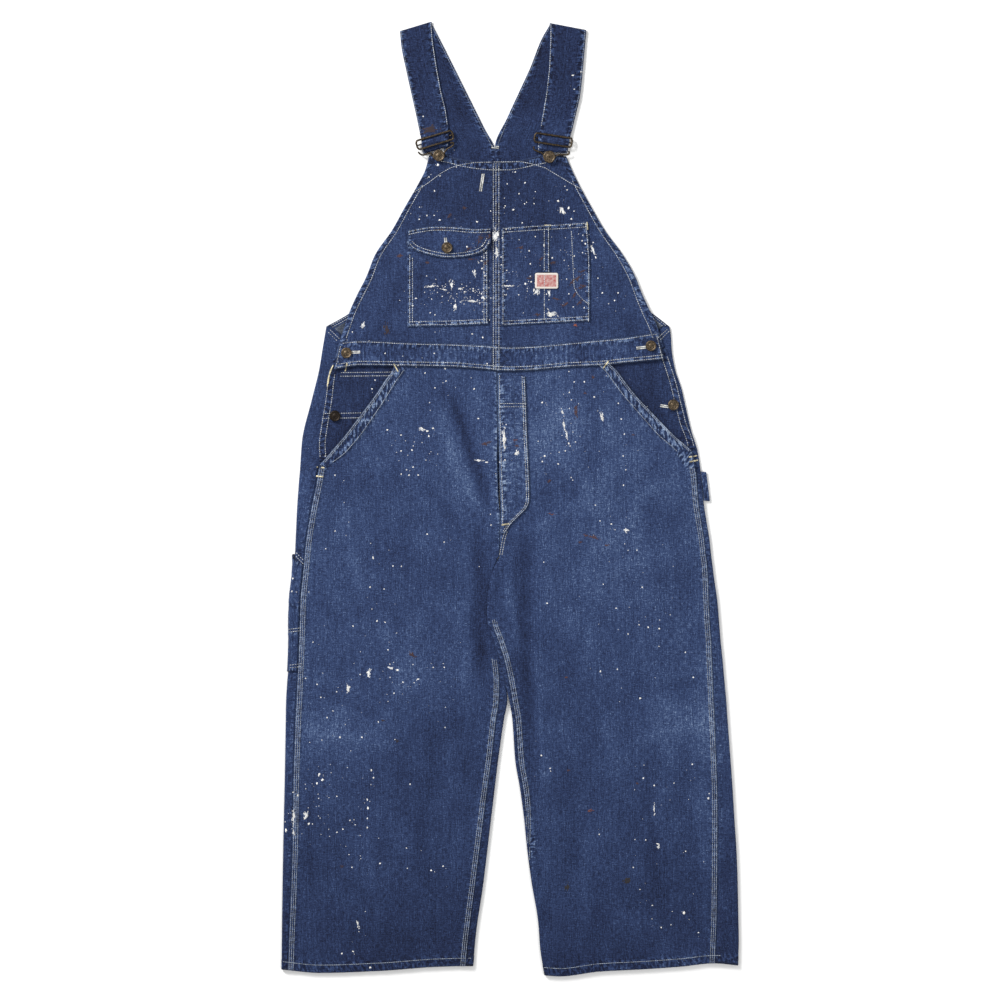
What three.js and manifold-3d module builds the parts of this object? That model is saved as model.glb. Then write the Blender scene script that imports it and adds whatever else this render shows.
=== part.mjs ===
// Denim bib overalls, laid out flat on their back, front up. Millimetres, +Z up.
// X is across the garment, and "down" is the distance below the shoulder folds,
// as a tailor measures it. The straps are at +Y and the leg hems at -Y.
import * as THREE from "three";
import { mergeVertices } from "three/addons/utils/BufferGeometryUtils.js";
import Module from "manifold-3d";

const wasm = await Module();
wasm.setup();

// Driving sizes
const LENGTH = 1384; // shoulder folds to the lowest hem
const CLOTH = 1.4; // one layer of heavy denim with its turnings
const GAP = 0.3; // between pieces that are sewn edge to edge
const LAY = 0.4; // clearance of a piece that lies on another
const STRAP_CLOTH = 1.7; // a faced strap
const SEAM_WIDTH = 9; // felled side seam and inseam
const SEAM_RISE = 0.8;
const BAND_WIDTH = 17; // stitched band along a slant pocket, measured across
const HEM_WIDTH = 13;
const HEM_RISE = 0.9;
const HEM_LINE = 1375; // mean height of the hems
const CROTCH = 775;
const PLACKET_END = 643; // where slant pocket, side opening and side seam meet
const BACK_SEAM = 441.5; // seam between the high back and the back legs
const BIB_BUTTON = 16.8; // diameter
const WAIST_BUTTON = 15.6;
const SIDE_BUTTON = 16;
const WIRE = 2.9; // buckle wire diameter

const DENIM = { color: 0x2f3f6b, roughness: 0.92, metalness: 0 };
const LABEL_CLOTH = { color: 0xd8cfc0, roughness: 0.9, metalness: 0 };
const BRONZE = { color: 0x5a4a38, roughness: 0.45, metalness: 0.9 };

const garment = new THREE.Group();

/** Adds one closed body to the garment, with its faces turned outwards. */
function add(name, geometry, finish) {
  const mesh = new THREE.Mesh(geometry, new THREE.MeshStandardMaterial(finish));
  mesh.name = name;
  garment.add(mesh);
  return mesh;
}

/** Smooth step from 0 at a to 1 at b. */
function rise(a, b, x) {
  const t = Math.min(1, Math.max(0, (x - a) / (b - a)));
  return t * t * (3 - 2 * t);
}

/** Smooth curve through one named column of a table, which never overshoots its rows. */
function curve(rows, name, key = "down") {
  const kept = rows.filter((row) => name in row);
  const at = kept.map((row) => row[key]);
  const value = kept.map((row) => row[name]);
  const slope = at.slice(1).map((x, i) => (value[i + 1] - value[i]) / (x - at[i]));
  const tangent = at.map((x, i) => {
    const before = slope[Math.max(0, i - 1)];
    const after = slope[Math.min(slope.length - 1, i)];
    return before * after <= 0 ? 0 : (2 * before * after) / (before + after);
  });
  return (x) => {
    if (x <= at[0]) return value[0];
    if (x >= at[at.length - 1]) return value[value.length - 1];
    const i = at.findIndex((next) => next > x) - 1;
    const width = at[i + 1] - at[i];
    const t = (x - at[i]) / width;
    const u = 1 - t;
    return (
      value[i] * u * u * (1 + 2 * t) +
      tangent[i] * width * u * u * t +
      value[i + 1] * t * t * (1 + 2 * u) -
      tangent[i + 1] * width * t * t * u
    );
  };
}

/** Stations from the first to the last mark, evenly spread between marks. */
function stations(marks, step) {
  const out = [marks[0]];
  for (let i = 1; i < marks.length; i += 1) {
    const count = Math.max(1, Math.round((marks[i] - marks[i - 1]) / step));
    for (let k = 1; k <= count; k += 1) {
      out.push(marks[i - 1] + ((marks[i] - marks[i - 1]) * k) / count);
    }
  }
  return out;
}

/** A closed wall between two matching grids of points [x, down, z]. */
function wall(outer, inner) {
  const rows = outer.length;
  const cols = outer[0].length;
  const points = [...outer.flat(), ...inner.flat()];
  const position = points.flatMap(([x, down, z]) => [x, LENGTH / 2 - down, z]);
  const index = [];
  const quad = (a, b, c, d) => index.push(a, b, c, a, c, d);
  const at = (side, r, c) => side * rows * cols + r * cols + c;
  for (let r = 0; r < rows - 1; r += 1) {
    for (let c = 0; c < cols - 1; c += 1) {
      quad(at(0, r, c), at(0, r + 1, c), at(0, r + 1, c + 1), at(0, r, c + 1));
      quad(at(1, r, c), at(1, r, c + 1), at(1, r + 1, c + 1), at(1, r + 1, c));
    }
    quad(at(0, r, 0), at(1, r, 0), at(1, r + 1, 0), at(0, r + 1, 0));
    const e = cols - 1;
    quad(at(0, r, e), at(0, r + 1, e), at(1, r + 1, e), at(1, r, e));
  }
  for (let c = 0; c < cols - 1; c += 1) {
    quad(at(0, 0, c), at(0, 0, c + 1), at(1, 0, c + 1), at(1, 0, c));
    const e = rows - 1;
    quad(at(0, e, c), at(1, e, c), at(1, e, c + 1), at(0, e, c + 1));
  }
  return solid(position, index);
}

/** A geometry from points and triangles, turned right side out. */
function solid(position, index) {
  let volume = 0;
  const [a, b, c] = [new THREE.Vector3(), new THREE.Vector3(), new THREE.Vector3()];
  for (let i = 0; i < index.length; i += 3) {
    a.fromArray(position, index[i] * 3);
    b.fromArray(position, index[i + 1] * 3);
    c.fromArray(position, index[i + 2] * 3);
    volume += a.dot(b.cross(c));
  }
  const geometry = new THREE.BufferGeometry();
  geometry.setAttribute("position", new THREE.Float32BufferAttribute(position, 3));
  geometry.setIndex(volume < 0 ? [...index].reverse() : index);
  return geometry;
}

/** A slab of cloth: place gives [x, down] for a row and a column, under gives its lower face. */
function cloth(rows, cols, place, under, thick) {
  const lower = rows.map((v) => cols.map((u) => {
    const [x, down] = place(u, v);
    return [x, down, under(x, down, u, v)];
  }));
  const upper = rows.map((v, r) => cols.map((u, c) => {
    const [x, down, z] = lower[r][c];
    return [x, down, z + thick(x, down, u, v)];
  }));
  return wall(upper, lower);
}

const RAMP = 1.2; // a raised seam or hem rises over this width

/** Columns of a leg panel, outer edge first, with a raised seam of one width along each edge. */
function seamedColumns(middle, width) {
  const inwards = [0, RAMP, width, width + RAMP];
  const between = Array.from({ length: middle - 1 }, (_, k) => ["middle", (k + 1) / middle]);
  return [
    ...inwards.map((distance) => ["outer", distance]),
    ...between,
    ...inwards.reverse().map((distance) => ["inner", distance]),
  ];
}

// Heights. The back lies flat on z = 0; the front lies over it, a few millimetres up.
const BIB_LEVEL = 1.8;
const WAIST_LEVEL = 3.2;
const LEG_LEVEL = 3.6;
const HIP_LIFT = 2.0; // the front passes over the hip panel and the folded side here
const FLAP_LEVEL = 1.7; // back folded forward under the hip panel
const HIP_PANEL_LEVEL = 3.5;

/** Lower face of the front cloth, bib and legs alike, before its folds. */
function bodyLevel(x, down) {
  const bib = BIB_LEVEL + (WAIST_LEVEL - BIB_LEVEL) * rise(195, 480, down);
  const leg = (LEG_LEVEL - WAIST_LEVEL) * rise(560, 760, down);
  const hips = rise(50, 118, Math.abs(x)) * rise(370, 460, down) * (1 - rise(640, 740, down));
  return bib + leg + HIP_LIFT * hips;
}

// The largest soft folds of the legs. Each runs down the leg from one height to another.
const FOLDS = [
  { x: -52, from: 800, to: 940, lean: 0.02, half: 17, height: -0.9 },
  { x: -78, from: 540, to: 700, lean: 0.1, half: 16, height: 0.6 },
  { x: 24, from: 760, to: 1090, lean: 0.05, half: 16, height: -1.0 },
  { x: 52, from: 700, to: 960, lean: 0.07, half: 20, height: 0.9 },
  { x: -190, from: 900, to: 1180, lean: -0.03, half: 26, height: 0.8 },
  { x: -96, from: 1060, to: 1300, lean: -0.02, half: 20, height: -0.8 },
  { x: 190, from: 960, to: 1240, lean: 0.04, half: 26, height: 0.8 },
  { x: 112, from: 1080, to: 1290, lean: 0.02, half: 20, height: -0.8 },
  { x: -236, from: 1120, to: 1330, lean: 0.02, half: 18, height: -0.7 },
  { x: 246, from: 760, to: 980, lean: 0.03, half: 18, height: -0.7 },
];

function folds(x, down) {
  let z = 0;
  for (const fold of FOLDS) {
    const middle = fold.x + fold.lean * (down - fold.from);
    const across = (x - middle) / fold.half;
    const fade = rise(fold.from, fold.from + 60, down) * (1 - rise(fold.to - 60, fold.to, down));
    z += fold.height * fade * Math.exp(-across * across);
  }
  return z;
}

// The right leg lies over the left one at the crotch, so its edge stands a little higher.
const CROTCH_LIFT = 1.3;

function legLevel(side, x, down) {
  const over = side * CROTCH_LIFT * (1 - rise(20, 90, Math.abs(x + 20)));
  const near = rise(CROTCH - 60, CROTCH + 20, down) * (1 - rise(930, 1010, down));
  const lift = side > 0 ? over : over * 0.4;
  return bodyLevel(x, down) + lift * near + folds(x, down);
}

// Front waistband: top and bottom edge, and the line in its middle that the bib and legs meet on.
const WAISTBAND = [
  { x: -256, top: 466, bottom: 505 },
  { x: -217, top: 462.5, bottom: 499.5 },
  { x: -145, top: 465.5, bottom: 500.5 },
  { x: -87, top: 467, bottom: 501.5 },
  { x: -43, top: 469, bottom: 504.5 },
  { x: 0, top: 471.5, bottom: 507.5 },
  { x: 29, top: 470.5, bottom: 506.5 },
  { x: 87, top: 465.5, bottom: 501.5 },
  { x: 130, top: 461.5, bottom: 499.5 },
  { x: 167, top: 458, bottom: 495.5 },
  { x: 210, top: 451.5, bottom: 491.5 },
  { x: 226, top: 450, bottom: 489.5 },
];
const bandTop = curve(WAISTBAND, "top", "x");
const bandBottom = curve(WAISTBAND, "bottom", "x");
const waistLine = (x) => (bandTop(x) + bandBottom(x)) / 2 + 3;
const WAIST = 490; // nominal height of the waist line in the tables below

// Hems run a little uneven, as the legs lie.
const HEMS = [
  { x: -331, down: 1374 },
  { x: -275, down: 1379 },
  { x: -188, down: 1376 },
  { x: -102, down: 1370 },
  { x: -54, down: 1369 },
  { x: 50, down: 1382.5 },
  { x: 72, down: 1384 },
  { x: 130, down: 1377 },
  { x: 188, down: 1374 },
  { x: 246, down: 1370 },
  { x: 297, down: 1365 },
  { x: 329, down: 1368 },
];
const hem = curve(HEMS, "down", "x");

/** Moves a nominal height so that the panel starts at the waist line and ends at the hem. */
function settle(x, down) {
  const top = (waistLine(x) + GAP - WAIST) * (1 - rise(WAIST, 560, down));
  const bottom = (hem(x) - HEM_LINE) * rise(1230, HEM_LINE, down);
  return down + top + bottom;
}

// Left leg. outer and inner are the fold edges, side and inseam the sewn edges of the front leg.
const LEFT_LEG = [
  { down: 442, outer: -266.4, side: -259.6 },
  { down: 459, outer: -269.4, side: -243.6 },
  { down: 476, outer: -272.2, side: -240.7 },
  { down: 505, outer: -277, side: -242 },
  { down: 549, outer: -287.8, side: -248 },
  { down: 607, outer: -301.6, side: -259.6 },
  { down: 636, outer: -303.8, side: -264 },
  { down: 648, outer: -304.5, side: -277.6 },
  { down: 665, outer: -306, side: -280.2 },
  { down: 708, outer: -309, side: -288.8 },
  { down: 763, outer: -311.5, side: -297.5 },
  { down: 775, outer: -312, side: -298.5, inner: -16, inseam: -16 },
  { down: 786, outer: -313, side: -299.5, inner: -20.9, inseam: -24.6 },
  { down: 810, outer: -315.5, side: -302, inner: -28.2, inseam: -32 },
  { down: 839, outer: -319, side: -304.6, inner: -32, inseam: -35.8 },
  { down: 865, outer: -319.8, side: -305.5, inner: -32.6, inseam: -36.4 },
  { down: 897, outer: -320, side: -306.5, inner: -22.6, inseam: -26.6 },
  { down: 926, outer: -320.6, side: -307.5, inner: -13.6, inseam: -18 },
  { down: 955, outer: -323, side: -309, inner: -7.2, inseam: -15.2 },
  { down: 984, outer: -324.8, side: -310.2, inner: -4, inseam: -15.6 },
  { down: 1010, outer: -325.3, side: -311.6, inner: -8.7, inseam: -19.5 },
  { down: 1071, outer: -326.3, side: -313.8, inner: -17.4, inseam: -26.5 },
  { down: 1107, outer: -327, side: -314.8, inner: -21.8, inseam: -31.5 },
  { down: 1180, outer: -328.7, side: -315.8, inner: -30.5, inseam: -41 },
  { down: 1252, outer: -330, side: -318, inner: -39.2, inseam: -50 },
  { down: 1325, outer: -331, side: -321, inner: -49.3, inseam: -59 },
  { down: 1375, outer: -331.4, side: -322.6, inner: -53.7, inseam: -63.8 },
];

const RIGHT_LEG = [
  { down: 442, outer: 230.8, side: 223.5 },
  { down: 449, outer: 232.2, side: 216 },
  { down: 459, outer: 233.2, side: 204.5 },
  { down: 476, outer: 234.2, side: 200 },
  { down: 505, outer: 239.3, side: 203 },
  { down: 531, outer: 248, side: 210 },
  { down: 556, outer: 253.8, side: 219 },
  { down: 595, outer: 263, side: 233.5 },
  { down: 621, outer: 271.2, side: 243.6 },
  { down: 636, outer: 274, side: 252 },
  { down: 648, outer: 275.6, side: 268.6 },
  { down: 665, outer: 277.6, side: 270.8 },
  { down: 700, outer: 280.8, side: 273.8 },
  { down: 723, outer: 284.4, side: 277.4 },
  { down: 752, outer: 289, side: 282 },
  { down: 775, outer: 291.5, side: 284.4, inner: -15.4, inseam: -15.4 },
  { down: 786, outer: 293, side: 286.2, inner: -20.2, inseam: -15.8 },
  { down: 810, outer: 296, side: 287.5, inner: -27.6, inseam: -23.6 },
  { down: 839, outer: 300.2, side: 288.6, inner: -31.5, inseam: -27.5 },
  { down: 865, outer: 302.5, side: 289.8, inner: -32, inseam: -28.0 },
  { down: 897, outer: 305, side: 292, inner: -22, inseam: -18.0 },
  { down: 926, outer: 308, side: 293.2, inner: -13, inseam: -9.0 },
  { down: 955, outer: 310.5, side: 294.4, inner: -6.6, inseam: -2.6 },
  { down: 984, outer: 313.2, side: 295.6, inner: -1.6, inseam: 2.4 },
  { down: 1010, outer: 315, side: 297, inner: 2.9, inseam: 6.9 },
  { down: 1071, outer: 319.5, side: 299.4, inner: 7.3, inseam: 11.3 },
  { down: 1114, outer: 322.5, side: 301, inner: 14.5, inseam: 18.5 },
  { down: 1158, outer: 325.2, side: 301.4, inner: 20.3, inseam: 24.3 },
  { down: 1201, outer: 328, side: 301.2, inner: 24.7, inseam: 28.7 },
  { down: 1245, outer: 329.7, side: 300.8, inner: 30.5, inseam: 34.5 },
  { down: 1303, outer: 330.8, side: 300.2, inner: 40.6, inseam: 44.6 },
  { down: 1339, outer: 331.4, side: 299, inner: 43.5, inseam: 47.5 },
  { down: 1375, outer: 330.2, side: 297.5, inner: 49.8, inseam: 53.8 },
];

// Slant pocket cuts, from the waist line to the side seam.
const LEFT_SLANT = [
  { down: 490, x: -168.5 },
  { down: 507, x: -169.8 },
  { down: 523, x: -181.3 },
  { down: 543, x: -195.8 },
  { down: 562, x: -210.3 },
  { down: 581, x: -224.8 },
  { down: 600, x: -239.3 },
  { down: 617, x: -253.8 },
  { down: 634, x: -268.3 },
  { down: PLACKET_END, x: -276.6 },
];

const RIGHT_SLANT = [
  { down: 490, x: 139 },
  { down: 501, x: 142.1 },
  { down: 510, x: 152.3 },
  { down: 527, x: 166.8 },
  { down: 543, x: 181.3 },
  { down: 557, x: 195.8 },
  { down: 572, x: 210.3 },
  { down: 587, x: 224.8 },
  { down: 602, x: 239.3 },
  { down: 614, x: 253.8 },
  { down: 623, x: 263 },
  { down: PLACKET_END, x: 267.6 },
];

// Centre front: the fly seam from the waist to the crotch.
const FLY_SEAM = [
  { down: 490, x: -18.9 },
  { down: 553, x: -18.6 },
  { down: 592, x: -17.4 },
  { down: 665, x: -15.6 },
  { down: 708, x: -14.2 },
  { down: CROTCH, x: -15.7 },
];
const flySeam = curve(FLY_SEAM, "x");

const LEGS = {
  left: { sign: -1, table: LEFT_LEG, slant: curve(LEFT_SLANT, "x") },
  right: { sign: 1, table: RIGHT_LEG, slant: curve(RIGHT_SLANT, "x") },
};

for (const leg of Object.values(LEGS)) {
  leg.outer = curve(leg.table, "outer");
  leg.side = curve(leg.table, "side");
  leg.inner = curve(leg.table, "inner");
  leg.inseam = curve(leg.table, "inseam");
  // The front leg's outer edge: the pocket cut above, the side seam below.
  leg.frontOuter = (down) => (
    down <= PLACKET_END ? leg.slant(down) : leg.side(down) - leg.sign * GAP
  );
  leg.frontInner = (down) => {
    const seam = down <= CROTCH ? flySeam(down) : leg.inseam(down);
    return seam + leg.sign * GAP;
  };
}

// Heights that front and back leg share, so that their sewn edges match.
const LEG_STEP = 56;
const LEG_HEIGHTS = stations([
  PLACKET_END, 650, 665, 700, 742, CROTCH, 786, 839, 865, 984,
  HEM_LINE - HEM_WIDTH - RAMP, HEM_LINE - HEM_WIDTH, HEM_LINE - RAMP, HEM_LINE,
], LEG_STEP);

/** The front leg, from the waist line to the hem, with its seams, pocket band and hem raised. */
function frontLeg(side) {
  const leg = LEGS[side];
  const cols = seamedColumns(8, SEAM_WIDTH);
  const bandAt = (down) => (
    SEAM_WIDTH + (BAND_WIDTH - SEAM_WIDTH) * (1 - rise(PLACKET_END - 30, PLACKET_END + 20, down))
  );
  const place = ([from, amount], v) => {
    const a = leg.frontOuter(v);
    const b = leg.frontInner(v);
    const toB = Math.sign(b - a);
    const scale = bandAt(v) / SEAM_WIDTH;
    const start = a + toB * (bandAt(v) + RAMP + 1);
    const end = b - toB * (SEAM_WIDTH + RAMP + 1);
    let x = start + (end - start) * amount;
    if (from === "outer") x = a + toB * amount * scale;
    if (from === "inner") x = b - toB * amount;
    return [x, settle(x, v)];
  };
  const thick = (x, down, [from, amount], v) => {
    const raised = from !== "middle" && amount >= RAMP && amount <= SEAM_WIDTH;
    const atFly = from === "inner" && v < CROTCH;
    const onHem = v >= HEM_LINE - HEM_WIDTH && v < HEM_LINE;
    return CLOTH + Math.max(raised && !atFly ? SEAM_RISE : 0, onHem ? HEM_RISE : 0);
  };
  const under = (x, down) => legLevel(leg.sign, x, down);
  const rows = [...stations([WAIST, 507, PLACKET_END], LEG_STEP / 2), ...LEG_HEIGHTS.slice(1)];
  return cloth(rows, cols, place, under, thick);
}

const ARC_STEPS = 4;

/** Half a fold from its upper end to its lower end: matching outer and inner points [x, z]. */
function foldArc(edge, inwards, top, thickness, count) {
  const radius = top / 2;
  const middle = edge + inwards * radius;
  const arc = [];
  for (let k = 0; k <= count; k += 1) {
    const a = Math.PI / 2 - (Math.PI * k) / count;
    const small = radius - thickness;
    arc.push({
      outer: [middle - inwards * radius * Math.cos(a), radius + radius * Math.sin(a)],
      inner: [middle - inwards * small * Math.cos(a), radius + small * Math.sin(a)],
    });
  }
  return arc;
}

/** A flap end and its middle, lying level at a height. */
function flapPoints(end, foldMiddle, level) {
  return [0, 0.5].map((t) => {
    const x = end + (foldMiddle - end) * t;
    return { outer: [x, level + CLOTH], inner: [x, level] };
  });
}

/** Level of the back's folded edge: low under the hip panel, then up to meet the front leg. */
function flapLevel(leg, down) {
  const met = legLevel(leg.sign, leg.side(down), down);
  return FLAP_LEVEL + (met - FLAP_LEVEL) * rise(PLACKET_END - 4, PLACKET_END + 50, down);
}

/** One section of a back leg, from the side seam round under the leg to the inseam. */
function backLegSection(leg, down) {
  const inwards = -leg.sign;
  const level = flapLevel(leg, down);
  const outerArc = foldArc(leg.outer(down), inwards, level + CLOTH, CLOTH, ARC_STEPS);
  const start = outerArc[0].outer[0];
  const section = [...flapPoints(leg.side(down), start, level), ...outerArc];
  let end;
  if (down > CROTCH) {
    const inseam = leg.inseam(down);
    const innerLevel = legLevel(leg.sign, inseam, down);
    const arc = foldArc(leg.inner(down), leg.sign, innerLevel + CLOTH, CLOTH, ARC_STEPS);
    end = [...flapPoints(inseam, arc[0].outer[0], innerLevel), ...arc].reverse();
  } else {
    const count = ARC_STEPS + 3;
    const seam = -15.7 + leg.sign * GAP;
    end = Array.from({ length: count }, (_, k) => {
      const x = seam + leg.sign * 1.6 * (count - 1 - k);
      return { outer: [x, 0], inner: [x, CLOTH] };
    });
  }
  const from = section[section.length - 1].outer[0];
  const to = end[0].outer[0];
  for (const t of [0.25, 0.5, 0.75]) {
    const x = from + (to - from) * t;
    section.push({ outer: [x, 0], inner: [x, CLOTH] });
  }
  return [...section, ...end];
}

function backLeg(side) {
  const leg = LEGS[side];
  const upper = stations([BACK_SEAM + GAP, 459, 476, 505, PLACKET_END], LEG_STEP);
  const rows = [...upper, ...LEG_HEIGHTS.slice(1)].map((down) => ({
    down,
    section: backLegSection(leg, down),
  }));
  const place = (which) => rows.map(({ down, section }) => section.map((point) => {
    const [x, z] = point[which];
    const bottom = (hem(x) - HEM_LINE) * rise(1230, HEM_LINE, down);
    return [x, down + bottom, z];
  }));
  return wall(place("outer"), place("inner"));
}

for (const side of ["left", "right"]) {
  add(`back_leg_${side}`, backLeg(side), DENIM);
  add(`front_leg_${side}`, frontLeg(side), DENIM);
}

// Straps and high back. Each row is a line across the cloth: its outer end, its inner end and
// its height above the table, from the loop at the hook up to the shoulder fold.
const LEFT_STRAP = [
  { outerX: -125.4, outerDown: 192.1, innerX: -89.9, innerDown: 181.3, lift: 2.0 },
  { outerX: -126.9, outerDown: 188.5, innerX: -89.2, innerDown: 176.9, lift: 2.6 },
  { outerX: -127.6, outerDown: 184.9, innerX: -89.2, innerDown: 173.3, lift: 2.6 },
  { outerX: -128.3, outerDown: 179.1, innerX: -89.2, innerDown: 166.8, lift: 4.7 },
  { outerX: -129, outerDown: 171.1, innerX: -89.2, innerDown: 158.8, lift: 2.6 },
  { outerX: -131.2, outerDown: 160.2, innerX: -89.9, innerDown: 148.6, lift: 2.2 },
  { outerX: -136.3, outerDown: 135.6, innerX: -92.8, innerDown: 128.3, lift: 2.1 },
  { outerX: -142.8, outerDown: 106.6, innerX: -99.3, innerDown: 102.2, lift: 2.1 },
  { outerX: -150.8, outerDown: 70.3, innerX: -105.9, innerDown: 66, lift: 2.1 },
  { outerX: -158, outerDown: 34.1, innerX: -111.4, innerDown: 29.7, lift: 2.1 },
];
const LEFT_SHOULDER = { outerX: -159.5, outerDown: 13.8, innerX: -113.8, innerDown: 0 };
const LEFT_BACK = [
  { outerX: -155.2, outerDown: 34.1, innerX: -100.1, innerDown: 29.7 },
  { outerX: -143.6, outerDown: 77.6, innerX: -78.3, innerDown: 73.2 },
  { outerX: -127.6, outerDown: 121.1, innerX: -56.6, innerDown: 116.7 },
  { outerX: -110.2, outerDown: 157.3, innerX: -36.3, innerDown: 157.3 },
  { outerX: -95.7, outerDown: 183.4, innerX: -23.2, innerDown: 182 },
  { outerX: -94.3, outerDown: 208, innerX: -18.9, innerDown: 208 },
  { outerX: -107.3, outerDown: 244, innerX: -17.4, innerDown: 244 },
  { outerX: -142.1, outerDown: 302, innerX: -16, innerDown: 302 },
  { outerX: -181.3, outerDown: 367, innerX: -16, innerDown: 367 },
  { outerX: -217.5, outerDown: 411, innerX: -16, innerDown: 411 },
  { outerX: -239.3, outerDown: 427, innerX: -16, innerDown: 427 },
  { outerX: -265.5, outerDown: BACK_SEAM, innerX: -16, innerDown: BACK_SEAM },
];

const RIGHT_STRAP = [
  { outerX: 81.9, outerDown: 191.4, innerX: 39.9, innerDown: 187.8, lift: 2.0 },
  { outerX: 83.4, outerDown: 187.8, innerX: 39.6, innerDown: 183.4, lift: 2.6 },
  { outerX: 84, outerDown: 183.4, innerX: 39.9, innerDown: 176.9, lift: 2.6 },
  { outerX: 85.4, outerDown: 176, innerX: 40.6, innerDown: 168.9, lift: 4.7 },
  { outerX: 86.8, outerDown: 168.2, innerX: 42.1, innerDown: 161, lift: 2.6 },
  { outerX: 89.9, outerDown: 157.3, innerX: 43.5, innerDown: 151.5, lift: 2.2 },
  { outerX: 95, outerDown: 135.6, innerX: 46.8, innerDown: 132.7, lift: 2.1 },
  { outerX: 101.5, outerDown: 106.6, innerX: 51.5, innerDown: 103.7, lift: 2.1 },
  { outerX: 105.3, outerDown: 70.3, innerX: 55.5, innerDown: 67.4, lift: 2.1 },
  { outerX: 108.8, outerDown: 31.2, innerX: 57.3, innerDown: 26.8, lift: 2.1 },
];
const RIGHT_SHOULDER = { outerX: 110.2, outerDown: 12.3, innerX: 57.3, innerDown: 2.2 };
const RIGHT_BACK = [
  { outerX: 101.5, outerDown: 34.1, innerX: 45, innerDown: 26.8 },
  { outerX: 88.5, outerDown: 77.6, innerX: 29, innerDown: 67.4 },
  { outerX: 75.4, outerDown: 113.8, innerX: 13, innerDown: 102.2 },
  { outerX: 60.9, outerDown: 150.1, innerX: -4.4, innerDown: 139.9 },
  { outerX: 47.9, outerDown: 184.9, innerX: -22, innerDown: 182 },
  { outerX: 50.8, outerDown: 208, innerX: -18.3, innerDown: 208 },
  { outerX: 72.5, outerDown: 244, innerX: -16.8, innerDown: 244 },
  { outerX: 116, outerDown: 302, innerX: -15.4, innerDown: 302 },
  { outerX: 158, outerDown: 367, innerX: -15.4, innerDown: 367 },
  { outerX: 188.5, outerDown: 411, innerX: -15.4, innerDown: 411 },
  { outerX: 210, outerDown: 426, innerX: -15.4, innerDown: 426 },
  { outerX: 230, outerDown: BACK_SEAM, innerX: -15.4, innerDown: BACK_SEAM },
];

const STRAP_COLUMNS = [0, 0.03, 0.25, 0.5, 0.75, 0.97, 1];
const EDGE_ROUNDING = 0.35;
const STRAP_ENDS = 200; // the back is faced as the straps are, down to here

/** Half the back with its strap: up the front run, over the shoulder and down to the back seam. */
function backWithStrap(strap, shoulder, back) {
  const across = (row, u) => [
    row.outerX + (row.innerX - row.outerX) * u,
    row.outerDown + (row.innerDown - row.outerDown) * u,
  ];
  const outer = [];
  const inner = [];
  for (const row of strap) {
    const rounded = (u) => (u === 0 || u === 1 ? EDGE_ROUNDING : 0);
    outer.push(STRAP_COLUMNS.map((u) => [...across(row, u), row.lift + STRAP_CLOTH - rounded(u)]));
    inner.push(STRAP_COLUMNS.map((u) => [...across(row, u), row.lift]));
  }
  const radius = (strap[strap.length - 1].lift + STRAP_CLOTH) / 2;
  for (let k = 0; k <= 4; k += 1) {
    const a = Math.PI / 2 - (Math.PI * k) / 4;
    const small = radius - STRAP_CLOTH;
    const bend = (r) => STRAP_COLUMNS.map((u) => {
      const [x, down] = across(shoulder, u);
      return [x, down + radius - r * Math.cos(a), radius + r * Math.sin(a)];
    });
    outer.push(bend(radius));
    inner.push(bend(small));
  }
  for (const row of back) {
    const thickness = row.outerDown < STRAP_ENDS ? STRAP_CLOTH : CLOTH;
    outer.push(STRAP_COLUMNS.map((u) => [...across(row, u), 0]));
    inner.push(STRAP_COLUMNS.map((u) => [...across(row, u), thickness]));
  }
  return wall(outer, inner);
}

add("back_left", backWithStrap(LEFT_STRAP, LEFT_SHOULDER, LEFT_BACK), DENIM);
add("back_right", backWithStrap(RIGHT_STRAP, RIGHT_SHOULDER, RIGHT_BACK), DENIM);

// Bib: side edges and top edge. Its centre seam is felled to the right.
const BIB_CENTRE = -26;
const BIB_SEAM_WIDTH = 12;
const BIB_SIDE_HEM = 8;
const BIB_EDGES = [
  { down: 194, left: -117.5, right: 81.2 },
  { down: 215, left: -123, right: 90 },
  { down: 239, left: -135, right: 101.5 },
  { down: 270, left: -152.5, right: 118 },
  { down: 304, left: -171, right: 137 },
  { down: 341, left: -195.7, right: 162.4 },
  { down: 375, left: -209, right: 180.5 },
  { down: 401, left: -222, right: 190 },
  { down: 423, left: -232, right: 199 },
  { down: 448, left: -240.8, right: 210.2 },
  { down: 470, left: -248, right: 217 },
  { down: 492, left: -254, right: 223 },
];
const BIB_TOP = [
  { x: -118, down: 194.5 },
  { x: -110, down: 191 },
  { x: -103, down: 189.6 },
  { x: -96, down: 190.4 },
  { x: -90, down: 193.5 },
  { x: -72, down: 199.5 },
  { x: -43, down: 202.5 },
  { x: -14, down: 202.8 },
  { x: 14, down: 200.8 },
  { x: 29, down: 197.5 },
  { x: 46, down: 193.5 },
  { x: 58, down: 192 },
  { x: 81, down: 195.5 },
];
const bibTop = curve(BIB_TOP, "down", "x");
const bibLeft = curve(BIB_EDGES, "left");
const bibRight = curve(BIB_EDGES, "right");
const BIB_START = 194;

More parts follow.
